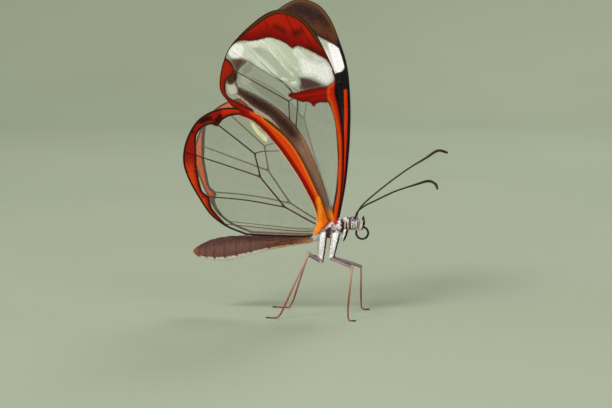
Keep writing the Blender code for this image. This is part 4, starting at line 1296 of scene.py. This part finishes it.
def leg_looks(place):
    """A leg's radius and colour along its length, and where its hip piece, thigh and shin end."""
    runs = [math.dist(start, end) for start, end in zip(LEGS[place], LEGS[place][1:])]
    hip, knee, ankle, *_ = np.cumsum(runs) / sum(runs)
    stops = (0, 0.5 * hip, hip, hip + 0.03, knee - 0.04, knee, knee + 0.03, ankle - 0.02, ankle, 1)
    sizes = (*HIP_RADII, *THIGH_RADII, *SHIN_RADII, FOOT_RADIUS, FOOT_RADIUS * 0.8)

    def radius_at(share):
        joints = 0.84 + 0.16 * np.abs(np.sin(math.pi * FOOT_SEGMENTS * (share - ankle) / (1 - ankle)))
        return np.interp(share, stops, sizes) * np.where(share > ankle, joints, 1)

    def tone_at(share, out):
        speck = RANDOM.random(len(share))
        white = mix(GREY_WHITE, WHITE, speck)
        white = mix(white, HIP_EDGE[place.split("_")[0]], smooth(out[:, 0], 0.66, 0.76))
        thigh = mix(LEG_LILAC, THORAX_BROWN, smooth(np.abs(out[:, 2]), 0.55, 0.75))
        thigh = mix(thigh, THORAX_BROWN, 0.5 * smooth(speck, 0.7, 0.9))
        shin = mix(LEG_ROSE, LEG_BROWN, smooth(share, knee, ankle) * 0.85 + 0.15 * speck)
        tone = mix(white, thigh, smooth(share, hip - 0.01, hip + 0.015))
        tone = mix(tone, shin, smooth(share, knee - 0.01, knee + 0.015))
        return mix(tone, DARK_BROWN, smooth(share, 0.965, 0.99))

    return radius_at, tone_at, hip, knee, ankle


def build_limbs():
    dull = scaled_material("limb_scales", 0.55, 16.0)
    glossy = skin_material("limb_skin", 0.3)
    for side in SIDE_SIGN:
        tube(f"feeler_{side}", to_side(ANTENNAE[side], side), feeler_radius, feeler_tone, 16, 0.04,
             glossy, f"antenna_{side}")
        tube(f"palp_shape_{side}", to_side(PALP, side), palp_radius, palp_tone, 16, 0.06,
             dull, f"palp_{side}")
        tube(f"brush_foot_{side}", to_side(FORELEG, side), brush_radius,
             front_edged(WHITE, BRUSH_EDGE, 0.2, 0.4), 16, 0.06, dull, f"leg_fore_{side}")
    turns = np.linspace(COIL_START, COIL_END, COIL_STEPS)
    x, z = COIL_CENTRE
    coil = [(x + COIL_RADIUS * math.cos(t), 0.0, z + COIL_RADIUS * math.sin(t)) for t in turns]
    tube("tongue", coil, tongue_radius, plain(BLACK), 18, 0.04, glossy, "proboscis")
    for place, points in LEGS.items():
        radius_at, tone_at, *_ = leg_looks(place)
        tube(f"shaped_leg_{place}", leg_path(points, place.split("_")[1]), radius_at, tone_at, 20, 0.06,
             dull, f"leg_{place}")
    build_limb_hair(dull)
    build_claws(glossy)


def hair_along(path, start, end, count, radius_at, length, width, tone_at):
    """Scales at random places between two shares of a limb: root, outward way, lie, length, width, tone."""
    line = even_points(path, 0.03)
    ways = unit(np.gradient(line, axis=0))
    rows = []
    for share in RANDOM.uniform(start, end, count):
        spot = int(share * (len(line) - 1))
        way = ways[spot]
        turned = unit(RANDOM.normal(size=3))
        turned = unit(turned - way * (turned @ way))
        root = line[spot] + turned * (radius_at(np.array([share]))[0] - 0.01)
        grown = length * RANDOM.uniform(0.7, 1.15)
        rows.append((root, turned, way, grown, width, tone_at(np.array([share]), turned[None])[0]))
    return rows


def build_limb_hair(looks):
    """Scales on the hip pieces, palps and brush feet, and spines on the shins."""
    rows = []
    for place, points in LEGS.items():
        radius_at, tone_at, hip, knee, ankle = leg_looks(place)
        path = leg_path(points, place.split("_")[1])
        for start, end, count, length, width in (
            (0.02, hip, 420, 0.32, 0.09), (hip, knee, 130, 0.2, 0.05), (knee, ankle, 60, 0.2, 0.025),
        ):
            rows += hair_along(path, start, end, count, radius_at, length, width, tone_at)
    for side in SIDE_SIGN:
        rows += hair_along(to_side(PALP, side), 0.0, 0.75, 240, palp_radius, 0.22, 0.05,
                           front_edged(COLLAR_PINK, BLACK, 0.3, 0.45))
        rows += hair_along(to_side(FORELEG, side), 0.0, 1.0, 260, brush_radius, 0.34, 0.06,
                           front_edged(WHITE, BRUSH_EDGE, 0.4, 0.5))
    roots, out, lie, lengths, widths, tones = (np.array(column) for column in zip(*rows))
    number = np.arange(len(rows))
    spots = np.stack([number % 100 / 100, number // 100 / 100 % 1], axis=1)
    grow_scales("coat_limbs", roots, out, lie, 0.22, lengths, widths, tones, spots, looks)


def build_claws(looks):
    """Two small hooks at the end of each foot."""
    for place, points in LEGS.items():
        heel, toe = np.array(to_side(points[-2:], place.split("_")[1]))
        way = unit(toe - heel)
        for letter, turn in (("a", -1), ("b", 1)):
            aside = np.array([-way[1], way[0], 0]) * turn
            path = [
                toe + aside * 0.03,
                toe + way * 0.1 + aside * 0.07 + (0, 0, 0.02),
                toe + way * 0.17 + aside * 0.08 - (0, 0, 0.07),
            ]
            tube(f"claw_{place}_{letter}", path, claw_radius, plain(BLACK), 10, 0.03, looks)


def build_floor():
    """A pale floor that curves up into a round wall."""
    curve = np.linspace(0.1, math.pi / 2, 12)
    profile = [(radius, 0.0) for radius in FLOOR_RADII]
    profile += [(FLOOR_RADII[-1] + WALL_CURVE * math.sin(t), WALL_CURVE * (1 - math.cos(t))) for t in curve]
    profile.append((FLOOR_RADII[-1] + WALL_CURVE, WALL_HEIGHT))
    turns = 2 * math.pi * np.arange(FLOOR_SIDES) / FLOOR_SIDES
    ways = [(math.cos(turn), math.sin(turn)) for turn in turns]
    points = [(radius * x, radius * y, height) for radius, height in profile for x, y in ways]
    faces = [tuple(range(FLOOR_SIDES))]
    for low in range(0, (len(profile) - 1) * FLOOR_SIDES, FLOOR_SIDES):
        for j in range(FLOOR_SIDES):
            k = (j + 1) % FLOOR_SIDES
            faces.append((low + j, low + FLOOR_SIDES + j, low + FLOOR_SIDES + k, low + k))
    looks, tree, shader, place = new_material("studio_floor")
    tree.links.new(blend_colour(tree, noise(tree, place, 0.01), *FLOOR_TONES), shader.inputs["Base Color"])
    shader.inputs["Roughness"].default_value = 0.9
    new_object("studio", points, faces, [looks])


def light_studio():
    world = bpy.data.worlds.new("studio_light")
    world.use_nodes = True
    background = world.node_tree.nodes["Background"]
    background.inputs["Color"].default_value = (*SKY_COLOUR, 1.0)
    background.inputs["Strength"].default_value = SKY_STRENGTH
    bpy.context.scene.world = world
    for name, place, watts, size, colour in LIGHTS:
        lamp = bpy.data.lights.new(name, "AREA")
        lamp.energy = watts
        lamp.shape = "DISK"
        lamp.size = size
        lamp.color = colour
        made = bpy.data.objects.new(name, lamp)
        bpy.context.collection.objects.link(made)
        made.location = place
        toward = Vector(place) - Vector(LIT_PLACE)
        made.rotation_euler = toward.to_track_quat("Z", "Y").to_euler()


def set_camera():
    back = Vector((
        math.sin(CAMERA_AZIMUTH) * math.cos(CAMERA_ELEVATION),
        -math.cos(CAMERA_AZIMUTH) * math.cos(CAMERA_ELEVATION),
        math.sin(CAMERA_ELEVATION),
    ))
    lens = bpy.data.cameras.new("camera")
    lens.lens = CAMERA_LENS
    lens.sensor_width = CAMERA_SENSOR
    lens.clip_start = 0.005
    lens.clip_end = 5.0
    camera = bpy.data.objects.new("camera", lens)
    bpy.context.collection.objects.link(camera)
    camera.location = Vector(CAMERA_TARGET) * MM + Vector(SHIFT) + back * CAMERA_DISTANCE * MM
    camera.rotation_euler = back.to_track_quat("Z", "Y").to_euler()
    bpy.context.scene.camera = camera
    bpy.context.scene.view_settings.view_transform = "Standard"
    bpy.context.scene.cycles.transparent_max_bounces = 24


build_wings()
build_skin()
build_coat()
build_eyes()
build_limbs()
build_floor()
light_studio()
set_camera()
